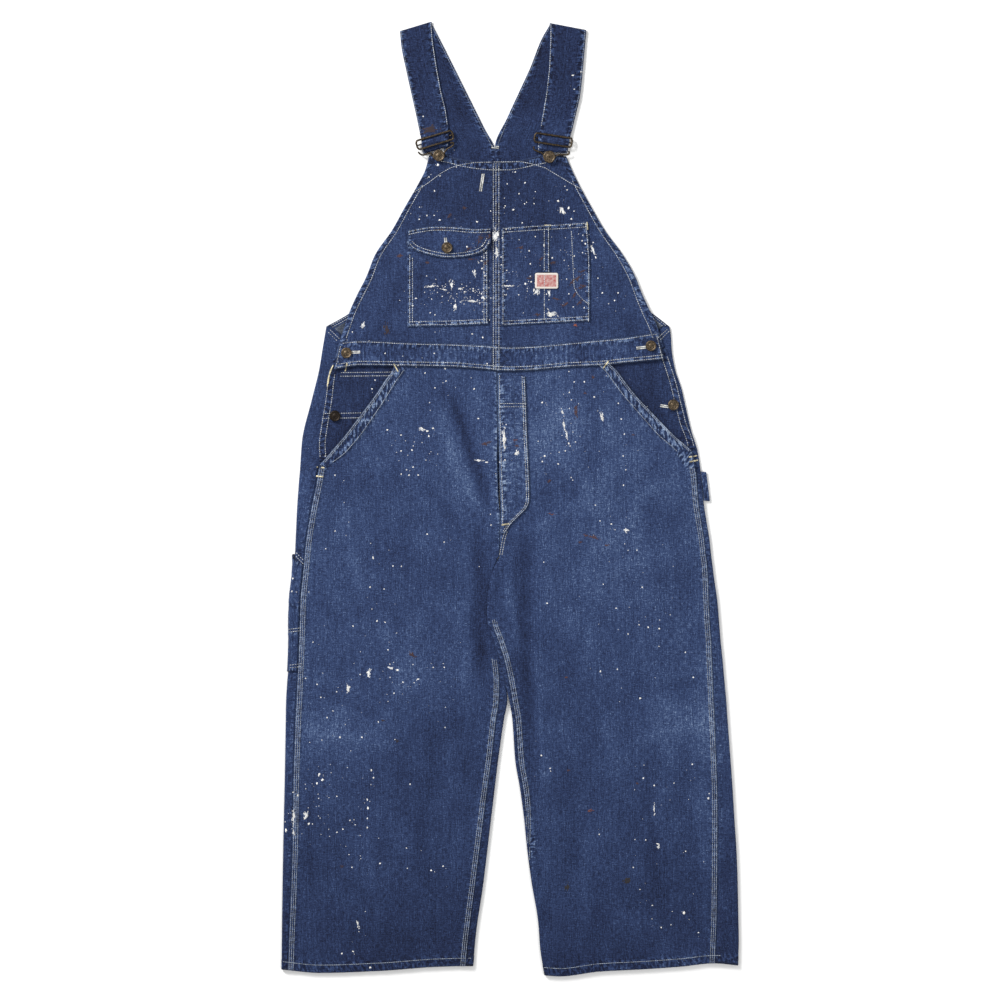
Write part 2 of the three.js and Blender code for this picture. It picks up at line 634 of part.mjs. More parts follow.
function bib(side) {
  const sign = side === "left" ? -1 : 1;
  const edge = side === "left" ? bibLeft : bibRight;
  const centre = BIB_CENTRE + sign * (GAP / 2);
  const seam = side === "right" ? BIB_SEAM_WIDTH : 0;
  const cols = [];
  if (seam) cols.push(0, 1, seam, seam + 1);
  else cols.push(0);
  for (let k = 1; k < 8; k += 1) cols.push(`${k / 8}`);
  cols.push("hem in", "hem", "edge in", "edge");
  const fromEdge = { "hem in": BIB_SIDE_HEM + 1, hem: BIB_SIDE_HEM, "edge in": 1, edge: 0 };
  const across = (u, down) => {
    if (u in fromEdge) return edge(down) - sign * fromEdge[u];
    if (typeof u === "number") return centre + sign * u;
    const start = centre + sign * (seam + 1);
    const end = edge(down) - sign * (BIB_SIDE_HEM + 1);
    return start + (end - start) * Number(u);
  };
  const place = (u, v) => {
    const top = bibTop(across(u, BIB_START));
    const nominal = BIB_START + (WAIST - BIB_START) * v;
    const x = across(u, nominal);
    const bottom = waistLine(x) - GAP;
    return [x, top + (bottom - top) * v];
  };
  const thick = (x, down, u) => {
    const onHem = u === "hem" || u === "edge in" ? 0.7 : 0;
    const onSeam = typeof u === "number" && u >= 1 && u <= seam ? SEAM_RISE : 0;
    return CLOTH + onHem + onSeam;
  };
  const rows = [0, 0.03, 0.08, 0.15, 0.25, 0.35, 0.45, 0.55, 0.65, 0.74, 0.83, 0.91, 1];
  return cloth(rows, cols, place, bodyLevel, thick);
}

add("bib_left", bib("left"), DENIM);
add("bib_right", bib("right"), DENIM);

// Pieces that lie on the front, each made from the height of what is under it.
const frontTop = (x, down) => bodyLevel(x, down) + CLOTH;
const even = (count) => Array.from({ length: count + 1 }, (_, k) => k / count);
const framed = (count, margin) => [
  0, margin * 0.1, margin, ...even(count).slice(1, -1), 1 - margin, 1 - margin * 0.1, 1,
];
const HEMMED = 0.7; // rise of a turned and stitched edge
const TURN_SHARE = 0.06;

/** A patch between two edges and two ends, with its turned edges raised. */
function patch({ left, right, top, bottom, rows = 6, cols = 4, under, margin = TURN_SHARE }) {
  const place = (u, v) => {
    const x0 = left(v) + (right(v) - left(v)) * u;
    return [x0, top(x0) + (bottom(x0) - top(x0)) * v];
  };
  const thick = (x, down, u, v) => {
    const turned = (t) => (t >= margin * 0.1 && t <= margin) || (t <= 1 - margin * 0.1 && t >= 1 - margin);
    const rim = [u, v].some((t) => turned(t)) && ![u, v].some((t) => t === 0 || t === 1);
    return CLOTH + (rim ? HEMMED : 0);
  };
  return cloth(framed(rows, margin), framed(cols, margin), place, under, thick);
}

// Left bib pocket and its flap.
const LEFT_POCKET_BOTTOM = [{ x: -150, down: 443 }, { x: -90, down: 442 }, { x: -30, down: 439 }];
const LEFT_POCKET_TOP = 318;
const pocketUnder = (x, down) => frontTop(x, down) + LAY;
add("bib_pocket_left", patch({
  left: (v) => -149.5 + v,
  right: (v) => -32 + 0.6 * v,
  top: () => LEFT_POCKET_TOP,
  bottom: curve(LEFT_POCKET_BOTTOM, "down", "x"),
  under: pocketUnder,
}), DENIM);

const FLAP_TOP = [
  { x: -149, down: 303 },
  { x: -130, down: 299 },
  { x: -109, down: 296.5 },
  { x: -87, down: 297 },
  { x: -50, down: 300 },
  { x: -28, down: 299 },
];
const FLAP_POINT = [
  { x: -149, down: 322 },
  { x: -145, down: 328 },
  { x: -137, down: 333 },
  { x: -124, down: 337.5 },
  { x: -109, down: 341 },
  { x: -91, down: 343.5 },
  { x: -72, down: 342.5 },
  { x: -50, down: 339 },
  { x: -38, down: 333.5 },
  { x: -31, down: 326 },
  { x: -27, down: 316 },
];
const flapUnder = (x, down) => (
  frontTop(x, down) + LAY + (CLOTH + HEMMED + 0.3) * rise(LEFT_POCKET_TOP - 12, LEFT_POCKET_TOP - 1, down)
);
add("pocket_flap", patch({
  left: () => -148,
  right: () => -28,
  top: curve(FLAP_TOP, "down", "x"),
  bottom: curve(FLAP_POINT, "down", "x"),
  rows: 5,
  cols: 9,
  under: flapUnder,
}), DENIM);

// Right bib pocket, with the strip that makes its pencil slot, and a plain woven label.
const RIGHT_POCKET_TOP = [
  { x: -14, down: 298.5 },
  { x: 29, down: 295.5 },
  { x: 72, down: 293 },
  { x: 110, down: 290.5 },
];
const RIGHT_POCKET_EDGE = [
  { v: 0, x: 111 },
  { v: 0.2, x: 114.5 },
  { v: 0.5, x: 116 },
  { v: 1, x: 115.5 },
];
const RIGHT_POCKET_BOTTOM = [
  { x: -14, down: 441.5 },
  { x: 43, down: 438.5 },
  { x: 80, down: 436.5 },
  { x: 115, down: 434.5 },
];
const rightPocketTop = curve(RIGHT_POCKET_TOP, "down", "x");
const rightPocketBottom = curve(RIGHT_POCKET_BOTTOM, "down", "x");
add("bib_pocket_right", patch({
  left: () => -12.6,
  right: curve(RIGHT_POCKET_EDGE, "x", "v"),
  top: rightPocketTop,
  bottom: rightPocketBottom,
  under: pocketUnder,
}), DENIM);

const onPocketUnder = (x, down) => pocketUnder(x, down) + CLOTH + HEMMED + LAY;
const PENCIL_LEFT = 47.5;
const PENCIL_RIGHT = 57;
add("pencil_slot", patch({
  left: () => PENCIL_LEFT,
  right: () => PENCIL_RIGHT,
  top: (x) => rightPocketTop(x) + 2,
  bottom: () => 364,
  rows: 4,
  cols: 2,
  under: onPocketUnder,
  margin: 0.2,
}), DENIM);

const LABEL = { left: 36, right: 69.5, top: 364.8, bottom: 387.6, corner: 0.12 };
add("pocket_label", cloth(even(6), even(8), (u, v) => {
  const width = LABEL.right - LABEL.left;
  const height = LABEL.bottom - LABEL.top;
  const end = Math.max(0, Math.abs(v - 0.5) - 0.5 + LABEL.corner) / LABEL.corner;
  const inset = LABEL.corner * height * (1 - Math.sqrt(1 - end * end * 0.96));
  return [LABEL.left + inset + (width - 2 * inset) * u, LABEL.top + height * v];
}, onPocketUnder, () => 0.8), LABEL_CLOTH);

// Waistband over the seam of bib and legs.
const BAND_ROWS = [0, 0.03, 0.17, 0.2, 0.5, 0.8, 0.83, 0.97, 1];
add("waistband", cloth(BAND_ROWS, even(20), (u, v) => {
  const left = -247 - 8 * v;
  const right = 214 + 9 * v;
  const x = left + (right - left) * u;
  return [x, bandTop(x) + (bandBottom(x) - bandTop(x)) * v];
}, (x, down) => frontTop(x, down) + LAY + SEAM_RISE * 0.6, (x, down, u, v) => {
  const turned = (v >= 0.03 && v <= 0.17) || (v >= 0.83 && v <= 0.97);
  return CLOTH + 0.4 + (turned ? 0.6 : 0);
}), DENIM);

// Hip panels behind the slant pockets. Their outer edge is the hem of the side opening.
const HIP_OVERLAP = 17; // how far the panel reaches in under the front leg
const LEFT_HIP = [
  { down: 490, x: -256 },
  { down: 512.6, x: -264.5 },
  { down: 549, x: -269 },
  { down: 585, x: -275 },
  { down: 614, x: -278.6 },
  { down: 637, x: -277 },
];
const RIGHT_HIP = [
  { down: 490, x: 225 },
  { down: 508, x: 232.5 },
  { down: 534, x: 243.5 },
  { down: 563, x: 251.8 },
  { down: 585, x: 257.5 },
  { down: 602, x: 264.5 },
  { down: 620, x: 269.5 },
];
const HIP_END = { left: 637, right: 620 };

for (const side of ["left", "right"]) {
  const { sign, slant } = LEGS[side];
  const edge = curve(side === "left" ? LEFT_HIP : RIGHT_HIP, "x");
  const cols = [0, 0.02, 0.2, 0.24, 0.6, 1];
  const rows = stations([WAIST, HIP_END[side]], 18);
  add(`hip_panel_${side}`, cloth(rows, cols, (u, v) => {
    const inner = slant(v) - sign * HIP_OVERLAP;
    const x = edge(v) + (inner - edge(v)) * u;
    return [x, settle(x, v)];
  }, () => HIP_PANEL_LEVEL, (x, down, u) => CLOTH + (u > 0.01 && u < 0.22 ? 0.25 : 0)), DENIM);
}

// Fly placket on the right front, from the waistband to the curve above the crotch.
const FLY = { top: 512, curveFrom: 694, end: 742 };
const FLY_EDGE = [
  { down: FLY.top, x: 22 },
  { down: 600, x: 25 },
  { down: FLY.curveFrom, x: 28.5 },
  { down: 704, x: 25 },
  { down: 716, x: 14 },
  { down: 728, x: 2 },
  { down: FLY.end, x: -7 },
];
const flyEdge = curve(FLY_EDGE, "x");
add("fly_placket", cloth(stations([FLY.top, FLY.curveFrom, FLY.end], 18), framed(3, 0.1), (u, v) => {
  const left = flySeam(v) + 1.4;
  return [left + (flyEdge(v) - left) * u, settle(0, v)];
}, (x, down) => legLevel(1, x, down) + CLOTH + LAY, (x, down, u) => (
  CLOTH + (u > 0.005 && u < 0.995 ? 0.3 : 0)
)), DENIM);

// Rule pocket on the left leg's edge: the strip that shows, turned round the fold.
const RULE_POCKET = { top: 772, slope: 14, bottom: 942, wrap: Math.PI * 0.18 };
function rulePocket() {
  const leg = LEGS.left;
  const layer = (out) => stations([0, 1], 1 / 7).map((v) => {
    const points = [];
    for (let k = 0; k <= 7; k += 1) {
      const start = RULE_POCKET.top + (k === 0 ? RULE_POCKET.slope : RULE_POCKET.slope * (1 - k / 7));
      const down = start + (RULE_POCKET.bottom - start) * v;
      const radius = (flapLevel(leg, down) + CLOTH) / 2;
      const middle = leg.outer(down) + radius;
      if (k < 2) {
        const end = leg.side(down) - 1;
        points.push([end + (middle - end) * (k / 2), down, 2 * radius + out]);
      } else {
        const a = Math.PI / 2 - ((Math.PI / 2 + RULE_POCKET.wrap) * (k - 2)) / 5;
        const r = radius + out;
        points.push([middle - r * Math.cos(a), down, radius + r * Math.sin(a)]);
      }
    }
    return points;
  });
  return wall(layer(2 * LAY + 1.2), layer(2 * LAY));
}
add("rule_pocket", rulePocket(), DENIM);

// Hammer loop: the strip that stands out at the right leg's edge.
const LOOP = { from: 653, to: 695, level: 1.2, thickness: 2 };
add("hammer_loop", cloth(stations([LOOP.from, LOOP.to], 8), [0, 0.15, 0.85, 1], (u, v) => {
  const left = LEGS.right.outer(v) + LAY;
  const right = 284.2 + ((v - LOOP.from) / (LOOP.to - LOOP.from)) * 5.2;
  return [left + (right - left) * u, v];
}, (x, down, u) => (u === 0 || u === 1 ? LOOP.level + 0.3 : LOOP.level), (x, down, u) => (
  u === 0 || u === 1 ? LOOP.thickness - 0.6 : LOOP.thickness
)), DENIM);

// Buttons: a shank and a shallow head with a rolled rim.
const BUTTON_SIDES = 14;
function button(name, x, down, surface, diameter, shank, tilt = 0) {
  const r = diameter / 2;
  const profile = [
    [0, 0], [2.4, 0], [2.4, shank], [r - 1.2, shank], [r, shank + 0.8], [r - 0.4, shank + 2],
    [r - 2, shank + 2.4], [r - 3, shank + 1.8], [0, shank + 2.2],
  ].map(([radius, height]) => new THREE.Vector2(radius, height));
  const lathe = new THREE.LatheGeometry(profile, BUTTON_SIDES);
  lathe.deleteAttribute("normal");
  lathe.deleteAttribute("uv");
  lathe.rotateX(Math.PI / 2);
  const merged = mergeVertices(lathe, 1e-3);
  const kept = [];
  const index = merged.index.array;
  for (let i = 0; i < index.length; i += 3) {
    const [a, b, c] = [index[i], index[i + 1], index[i + 2]];
    if (a !== b && b !== c && a !== c) kept.push(a, b, c);
  }
  const geometry = solid([...merged.attributes.position.array], kept);
  const mesh = add(name, geometry, BRONZE);
  mesh.position.set(x, LENGTH / 2 - down, surface);
  mesh.rotation.x = tilt;
}

const RUN = 0.3; // a button's shank stands this far off the cloth it passes through
const overWaistband = (x, down) => (
  frontTop(x, down) + LAY + SEAM_RISE * 0.6 + CLOTH + 0.4 + RUN
);
button("button_bib_left", -103.2, 194.9, bodyLevel(-103, 195) + CLOTH + 0.7 + RUN, BIB_BUTTON, 4);
button("button_bib_right", 56.6, 196.8, bodyLevel(56, 197) + CLOTH + RUN, BIB_BUTTON + 0.8, 4.4);
button("button_waist_left", -237, 480.7, overWaistband(-237, 480.7), WAIST_BUTTON, 1.2);
button("button_waist_right", 203.7, 470.5, overWaistband(203.7, 470.5), WAIST_BUTTON, 1.2);
button("button_side_left", -253.8, 572, HIP_PANEL_LEVEL + CLOTH + RUN, SIDE_BUTTON, 1.2);
button("button_side_right", 236.4, 556, HIP_PANEL_LEVEL + CLOTH + RUN, SIDE_BUTTON, 1.2);
button(
  "button_flap", -91.4, 328.4, flapUnder(-91.4, 328.4) + CLOTH + RUN, SIDE_BUTTON, 1.2,
);

// Buckles of bent wire: a slide that the strap runs through, and a hook round the bib button.
const WIRE_SIDES = 7;

/** A round wire along a curve, closed on itself or with flat ends. */
function wire(points, diameter, closed, steps) {
  const path = new THREE.CatmullRomCurve3(
    points.map(([x, down, z]) => new THREE.Vector3(x, LENGTH / 2 - down, z)),
    closed,
    "centripetal",
  );
  const frames = path.computeFrenetFrames(steps, closed);
  const rings = closed ? steps : steps + 1;
  const position = [];
  const centre = new THREE.Vector3();
  for (let i = 0; i < rings; i += 1) {
    path.getPointAt(i / steps, centre);
    for (let k = 0; k < WIRE_SIDES; k += 1) {
      const a = (2 * Math.PI * k) / WIRE_SIDES;
      const out = frames.normals[i].clone().multiplyScalar(Math.cos(a));
      out.addScaledVector(frames.binormals[i], Math.sin(a)).multiplyScalar(diameter / 2).add(centre);
      position.push(...out.toArray());
    }
  }
  const index = [];
  for (let i = 0; i < steps; i += 1) {
    const next = closed ? (i + 1) % rings : i + 1;
    for (let k = 0; k < WIRE_SIDES; k += 1) {
      const l = (k + 1) % WIRE_SIDES;
      const [a, b] = [i * WIRE_SIDES + k, i * WIRE_SIDES + l];
      const [c, d] = [next * WIRE_SIDES + k, next * WIRE_SIDES + l];
      index.push(a, b, d, a, d, c);
    }
  }
  if (!closed) {
    const last = steps * WIRE_SIDES;
    for (let k = 1; k < WIRE_SIDES - 1; k += 1) {
      index.push(0, k + 1, k, last, last + k, last + k + 1);
    }
  }
  return solid(position, index);
}

/** Two closed geometries joined into one body. */
function joined(first, second) {
  const body = (geometry) => new wasm.Manifold(new wasm.Mesh({
    numProp: 3,
    vertProperties: new Float32Array(geometry.attributes.position.array),
    triVerts: new Uint32Array(geometry.index.array),
  }));
  const mesh = body(first).add(body(second)).getMesh();
  return solid([...mesh.vertProperties], [...mesh.triVerts]);
}

/** Point at an angle-turned place on a buckle, from its centre. */
function turned(centre, degrees) {
  const a = (degrees * Math.PI) / 180;
  return (along, across, z) => [
    centre.x + along * Math.cos(a) - across * Math.sin(a),
    centre.down + along * Math.sin(a) + across * Math.cos(a),
    z,
  ];
}

const SLIDE = { half: 27.2, reach: 6.6, corner: 5, bars: 6.5, centreBar: 3.2, centreWire: 2 };

/** Slide: a rounded frame over the strap, with a centre bar under it. */
function slide(centre, degrees) {
  const at = turned(centre, degrees);
  const { half, reach, corner, bars, centreBar, centreWire } = SLIDE;
  const frame = [
    at(-half + corner, -reach, bars), at(-half / 3, -reach, bars), at(half / 3, -reach, bars),
    at(half - corner, -reach, bars), at(half - 0.9, -reach * 0.62, bars), at(half, 0, bars),
    at(half - 0.9, reach * 0.62, bars), at(half - corner, reach, bars),
    at(half / 3, reach, bars), at(-half / 3, reach, bars), at(-half + corner, reach, bars),
    at(-half + 0.9, reach * 0.62, bars), at(-half, 0, bars), at(-half + 0.9, -reach * 0.62, bars),
  ];
  const bar = [
    at(-half, 0, bars), at(-half + 0.9, 0, bars - 2.2), at(-half + 2.2, 0, centreBar + 0.6),
    at(-half + 5, 0, centreBar), at(0, 0, centreBar), at(half - 5, 0, centreBar),
    at(half - 2.2, 0, centreBar + 0.6), at(half - 0.9, 0, bars - 2.2), at(half, 0, bars),
  ];
  return joined(wire(frame, WIRE, true, 30), wire(bar, centreWire, false, 14));
}

add("buckle_slide_left", slide({ x: -109.2, down: 172.2 }, -17), BRONZE);
add("buckle_slide_right", slide({ x: 62.4, down: 172.3 }, 8.6), BRONZE);

/** Hook: from the strap's loop down round the bib button's shank and back up to a small eye. */
function hook(points) {
  return wire(points, WIRE - 0.3, false, 36);
}

// Under the strap's end the wire runs across, then it rounds the button below its head.
const HOOK_Z = 5.7;
add("buckle_hook_left", hook([
  [-86.5, 177, HOOK_Z + 1.5], [-83.2, 175.2, HOOK_Z + 1.2], [-81.6, 178, HOOK_Z + 0.6],
  [-84.5, 181.8, HOOK_Z], [-90.5, 184.4, HOOK_Z], [-94.8, 188.5, HOOK_Z],
  [-96.2, 195, HOOK_Z], [-99, 200.3, HOOK_Z], [-103.4, 202, HOOK_Z], [-107.6, 200.6, HOOK_Z],
  [-111.4, 196.4, HOOK_Z], [-114.6, 191.2, HOOK_Z], [-118, 191.4, HOOK_Z],
  [-125.5, 194.3, HOOK_Z], [-130.5, 193.2, HOOK_Z], [-133.4, 189.4, HOOK_Z],
]), BRONZE);
add("buckle_hook_right", hook([
  [34.6, 181.6, HOOK_Z + 1.2], [33.6, 184.6, HOOK_Z + 0.6], [36, 187.2, HOOK_Z],
  [42.6, 189.6, HOOK_Z], [47.2, 191.2, HOOK_Z], [49.4, 196.5, HOOK_Z],
  [52.2, 202.5, HOOK_Z], [56.6, 204.6, HOOK_Z], [61, 202.5, HOOK_Z], [64, 197, HOOK_Z],
  [68, 193.6, HOOK_Z], [74.6, 193.4, HOOK_Z], [82.5, 193.9, HOOK_Z],
  [86.4, 191.4, HOOK_Z + 0.4], [84.8, 188.6, HOOK_Z + 1],
]), BRONZE);

// The origin is under the middle of the garment, on the table.
const box = new THREE.Box3().setFromObject(garment, true);
const middle = box.getCenter(new THREE.Vector3());
garment.position.set(-middle.x, -middle.y, -box.min.z);
garment.updateMatrixWorld(true);

export default garment;
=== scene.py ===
import math

import bmesh
import bpy
import numpy as np
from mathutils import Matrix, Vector
from mathutils.bvhtree import BVHTree


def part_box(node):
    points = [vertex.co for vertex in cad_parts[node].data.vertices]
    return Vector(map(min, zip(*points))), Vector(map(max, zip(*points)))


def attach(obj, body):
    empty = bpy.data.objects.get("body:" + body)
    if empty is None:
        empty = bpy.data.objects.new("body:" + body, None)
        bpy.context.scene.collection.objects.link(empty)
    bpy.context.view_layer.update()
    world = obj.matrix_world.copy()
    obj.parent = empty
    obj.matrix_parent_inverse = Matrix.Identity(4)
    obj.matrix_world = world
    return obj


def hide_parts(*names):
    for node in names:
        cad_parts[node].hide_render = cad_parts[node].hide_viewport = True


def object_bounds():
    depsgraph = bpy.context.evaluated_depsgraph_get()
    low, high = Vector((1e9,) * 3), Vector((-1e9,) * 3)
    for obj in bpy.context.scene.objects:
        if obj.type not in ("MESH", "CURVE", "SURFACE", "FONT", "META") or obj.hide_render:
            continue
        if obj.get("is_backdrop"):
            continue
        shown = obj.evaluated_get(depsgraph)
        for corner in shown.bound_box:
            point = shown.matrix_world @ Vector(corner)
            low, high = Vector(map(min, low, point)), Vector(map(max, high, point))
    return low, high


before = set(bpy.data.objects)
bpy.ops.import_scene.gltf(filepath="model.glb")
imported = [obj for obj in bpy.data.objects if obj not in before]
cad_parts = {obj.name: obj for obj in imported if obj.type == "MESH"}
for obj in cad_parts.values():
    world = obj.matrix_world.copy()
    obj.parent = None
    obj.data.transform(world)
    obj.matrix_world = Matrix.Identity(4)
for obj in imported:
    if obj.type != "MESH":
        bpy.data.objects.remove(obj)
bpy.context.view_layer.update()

# Denim bib overalls lie on their back on a white table. Sizes are in millimetres unless a name
# says otherwise. X is across, "down" is the distance below the shoulder folds, as a tailor
# measures it, and heights are above the table.

# The table, the soft light and the camera.
# A matt white table under a large soft lamp on the strap side and an even white surround, seen
# from straight above.
TABLE_HALF_M = 6.0
TABLE_LEVEL_M = -0.0004
CAMERA_HEIGHT_M = 6.0
CAMERA_REACH_M = 50
VIEW_WIDTH_M = 1.45  # the picture's 1000 pixels, at the table
VIEW_CENTRE_M = (-0.0145, -0.0018)
SENSOR = 36.0
LAMPS = [
    # name, place in metres, size in metres, watts
    ("key", (-2.4, 2.4, 2.2), 1.4, 205),
    ("fill", (2.4, -1.8, 3.2), 2.4, 52),
]


def place_object(name, data):
    thing = bpy.data.objects.new(name, data)
    bpy.context.collection.objects.link(thing)
    return thing


def feed(tree, node, sockets):
    """Sets sockets, by name or number: each to a value, or linked where that is a socket."""
    for label, value in sockets.items():
        if isinstance(value, bpy.types.NodeSocket):
            tree.links.new(value, node.inputs[label])
        else:
            node.inputs[label].default_value = value
    return node


def new_material(name, sockets):
    """A material whose shader has some sockets set, with its node tree and that shader."""
    material = bpy.data.materials.new(name)
    material.use_nodes = True
    tree = material.node_tree
    return material, tree, feed(tree, tree.nodes["Principled BSDF"], sockets)


table_mesh = bpy.data.meshes.new("table")
t = TABLE_HALF_M
corners = [(x, y, TABLE_LEVEL_M) for x, y in ((-t, -t), (t, -t), (t, t), (-t, t))]
table_mesh.from_pydata(corners, [], [(0, 1, 2, 3)])
table = place_object("table", table_mesh)
table_white, _, _ = new_material(
    "table_white", {"Base Color": (0.93, 0.93, 0.925, 1), "Roughness": 0.9, "Specular IOR Level": 0.1},
)
table_mesh.materials.append(table_white)
table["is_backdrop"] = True

world = bpy.data.worlds.new("surround")
bpy.context.scene.world = world
world.use_nodes = True
surround = world.node_tree.nodes["Background"]
feed(world.node_tree, surround, {"Color": (1, 1, 1, 1), "Strength": 0.55})
bpy.context.scene.view_settings.view_transform = "Standard"

for name, place, size, watts in LAMPS:
    lamp = bpy.data.lights.new(name, "AREA")
    lamp.size = size
    lamp.energy = watts
    lamp_object = place_object(name, lamp)
    lamp_object.location = place
    lamp_object.rotation_euler = (-Vector(place)).to_track_quat("-Z", "Y").to_euler()

camera_data = bpy.data.cameras.new("camera")
camera_data.sensor_width = SENSOR
camera_data.lens = SENSOR * CAMERA_HEIGHT_M / VIEW_WIDTH_M
camera_data.clip_end = CAMERA_REACH_M
camera = place_object("camera", camera_data)
camera.location = (*VIEW_CENTRE_M, CAMERA_HEIGHT_M)
bpy.context.scene.camera = camera

# The back legs.
# Each is one cut of denim from the seat to the hem. It lies flat on the table and turns up round
# both edges of the flattened leg, where it is felled to the front leg at side seam and inseam.
LENGTH = 1384  # from the shoulder folds to the longest point of the hem
CLOTH = 1.4  # one layer of heavy denim with its turnings
GAP = 0.3  # between pieces that meet edge to edge
LAY = 0.4  # between a piece and the one it lies on
SEAM_WIDTH = 9
SEAM_RISE = 0.8
HEM_WIDTH = 13
HEM_BAND = 15.5  # the roped part of a hem, from its edge to a little past its stitching
HEM_LINE = 1375  # the hems' nominal place, before they follow their own line
CROTCH = 775
PLACKET_END = 643  # where the side opening and the slant pocket end
BACK_SEAM = 441.5  # where the back is sewn to the back legs
LABEL_LEFT, LABEL_TOP = 36, 364.8  # the corner that sets these sizes in the frame
label_low, label_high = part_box("pocket_label")
SHIFT_X = label_low.x * 1000 - LABEL_LEFT  # from these sizes to the frame
SHIFT_Y = label_high.y * 1000 - (LENGTH / 2 - LABEL_TOP)


def rise(a, b, x):
    """Smooth step from 0 at a to 1 at b."""
    s = np.clip((np.asarray(x, float) - a) / (b - a), 0, 1)
    return s * s * (3 - 2 * s)


def curve(rows, key, column):
    """Smooth line through one column of a table against another, which never overshoots."""
    kept = [r for r in rows if len(r) > column]
    at = np.array([r[key] for r in kept], float)
    value = np.array([r[column] for r in kept], float)
    slope = np.diff(value) / np.diff(at)
    before, after = np.r_[slope[0], slope], np.r_[slope, slope[-1]]
    total = np.where(before + after == 0, 1, before + after)
    tangent = np.where(before * after <= 0, 0, 2 * before * after / total)

    def line(x):
        x = np.clip(np.asarray(x, float), at[0], at[-1])
        i = np.clip(np.searchsorted(at, x, side="right") - 1, 0, len(at) - 2)
        width = at[i + 1] - at[i]
        s = (x - at[i]) / width
        u = 1 - s
        return (
            value[i] * u * u * (1 + 2 * s)
            + tangent[i] * width * u * u * s
            + value[i + 1] * s * s * (1 + 2 * u)
            - tangent[i + 1] * width * s * s * u
        )

    return line


def ripple(seed):
    """Smooth unevenness between -1 and 1, with a bump about every unit of x and y."""
    table = np.random.default_rng(seed).uniform(-1, 1, (128, 128))

    def at(x, y=0.0):
        x, y = np.broadcast_arrays(np.asarray(x, float), np.asarray(y, float))
        i, j = np.floor(x).astype(int), np.floor(y).astype(int)
        a, b = x - i, y - j
        a, b = a * a * (3 - 2 * a), b * b * (3 - 2 * b)
        low = table[i % 128, j % 128] * (1 - a) + table[(i + 1) % 128, j % 128] * a
        high = table[i % 128, (j + 1) % 128] * (1 - a) + table[(i + 1) % 128, (j + 1) % 128] * a
        return low * (1 - b) + high * b

    return at


def stations(marks, step):
    """Places from the first mark to the last, evenly spread between marks."""
    out = [marks[0]]
    for a, b in zip(marks, marks[1:]):
        count = max(1, round((b - a) / step))
        out += [a + (b - a) * k / count for k in range(1, count + 1)]
    return np.array(out)


def in_frame(points):
    """Points [x, down, height] in millimetres, in the frame's metres."""
    p = np.asarray(points, float)
    return np.stack([p[..., 0] + SHIFT_X, LENGTH / 2 - p[..., 1] + SHIFT_Y, p[..., 2]], -1) / 1000


def wall(name, outer, inner, weave, fade, worn=0.0, seam=None):
    """A closed cloth between two matching grids, with its weave and seam directions and its wear."""
    rows, cols = outer.shape[:2]
    points = in_frame(np.concatenate([outer.reshape(-1, 3), inner.reshape(-1, 3)]))
    index = np.arange(2 * rows * cols).reshape(2, rows, cols)
    top, low = index

    def quads(a, b, c, d):
        return np.stack([a.ravel(), b.ravel(), c.ravel(), d.ravel()], -1)

    faces = np.concatenate([
        quads(top[:-1, :-1], top[1:, :-1], top[1:, 1:], top[:-1, 1:]),
        quads(low[:-1, :-1], low[:-1, 1:], low[1:, 1:], low[1:, :-1]),
        quads(top[:-1, 0], low[:-1, 0], low[1:, 0], top[1:, 0]),
        quads(top[:-1, -1], top[1:, -1], low[1:, -1], low[:-1, -1]),
        quads(top[0, :-1], top[0, 1:], low[0, 1:], low[0, :-1]),
        quads(top[-1, :-1], low[-1, :-1], low[-1, 1:], top[-1, 1:]),
    ])
    a, b, c, d = (points[faces[:, k]] for k in range(4))
    volume = (a * np.cross(b, c)).sum() + (a * np.cross(c, d)).sum()
    if volume < 0:
        faces = faces[:, ::-1]
    mesh = bpy.data.meshes.new(name)
    mesh.vertices.add(len(points))
    mesh.vertices.foreach_set("co", points.ravel())
    mesh.loops.add(faces.size)
    mesh.loops.foreach_set("vertex_index", np.ascontiguousarray(faces).ravel())
    mesh.polygons.add(len(faces))
    mesh.polygons.foreach_set("loop_start", np.arange(0, faces.size, 4))
    mesh.update(calc_edges=True)
    mesh.shade_smooth()
    for label, directions in (("weave", weave), ("seam", weave if seam is None else seam)):
        flat = np.broadcast_to(directions, (rows, cols, 2)).reshape(-1, 2) / 1000
        uv = mesh.uv_layers.new(name=label)
        uv.uv.foreach_set("vector", np.concatenate([flat, flat])[faces.ravel()].ravel())
    for label, value in (("fade", fade), ("worn", worn)):
        spread = np.broadcast_to(np.asarray(value, float), (rows, cols)).ravel()
        attribute = mesh.attributes.new(label, "FLOAT", "POINT")
        attribute.data.foreach_set("value", np.concatenate([spread, spread]))
    return place_object(name, mesh)


def panel(name, x, down, over, under, fade, worn=0.0, seam=None):
    """A wall between two heights over the same places, woven straight down the garment."""
    x, down, over, under = np.broadcast_arrays(x, down, over, under)
    place = np.stack([x, down], -1)
    outer, inner = np.stack([x, down, over], -1), np.stack([x, down, under], -1)
    return wall(name, outer, inner, place, fade, worn, seam)


# Heights of the cloth that lies on the back
BIB_LEVEL = 1.8
WAIST_LEVEL = 3.2
LEG_LEVEL = 3.6
HIP_LIFT = 2.0
FLAP_LEVEL = 1.7
HIP_PANEL_LEVEL = 3.5
CROTCH_LIFT = 1.3


def body_level(x, down):
    """Lower face of the front cloth before its folds."""
    bib = BIB_LEVEL + (WAIST_LEVEL - BIB_LEVEL) * rise(195, 480, down)
    leg = (LEG_LEVEL - WAIST_LEVEL) * rise(560, 760, down)
    hips = rise(50, 118, np.abs(x)) * rise(370, 460, down) * (1 - rise(640, 740, down))
    return bib + leg + HIP_LIFT * hips


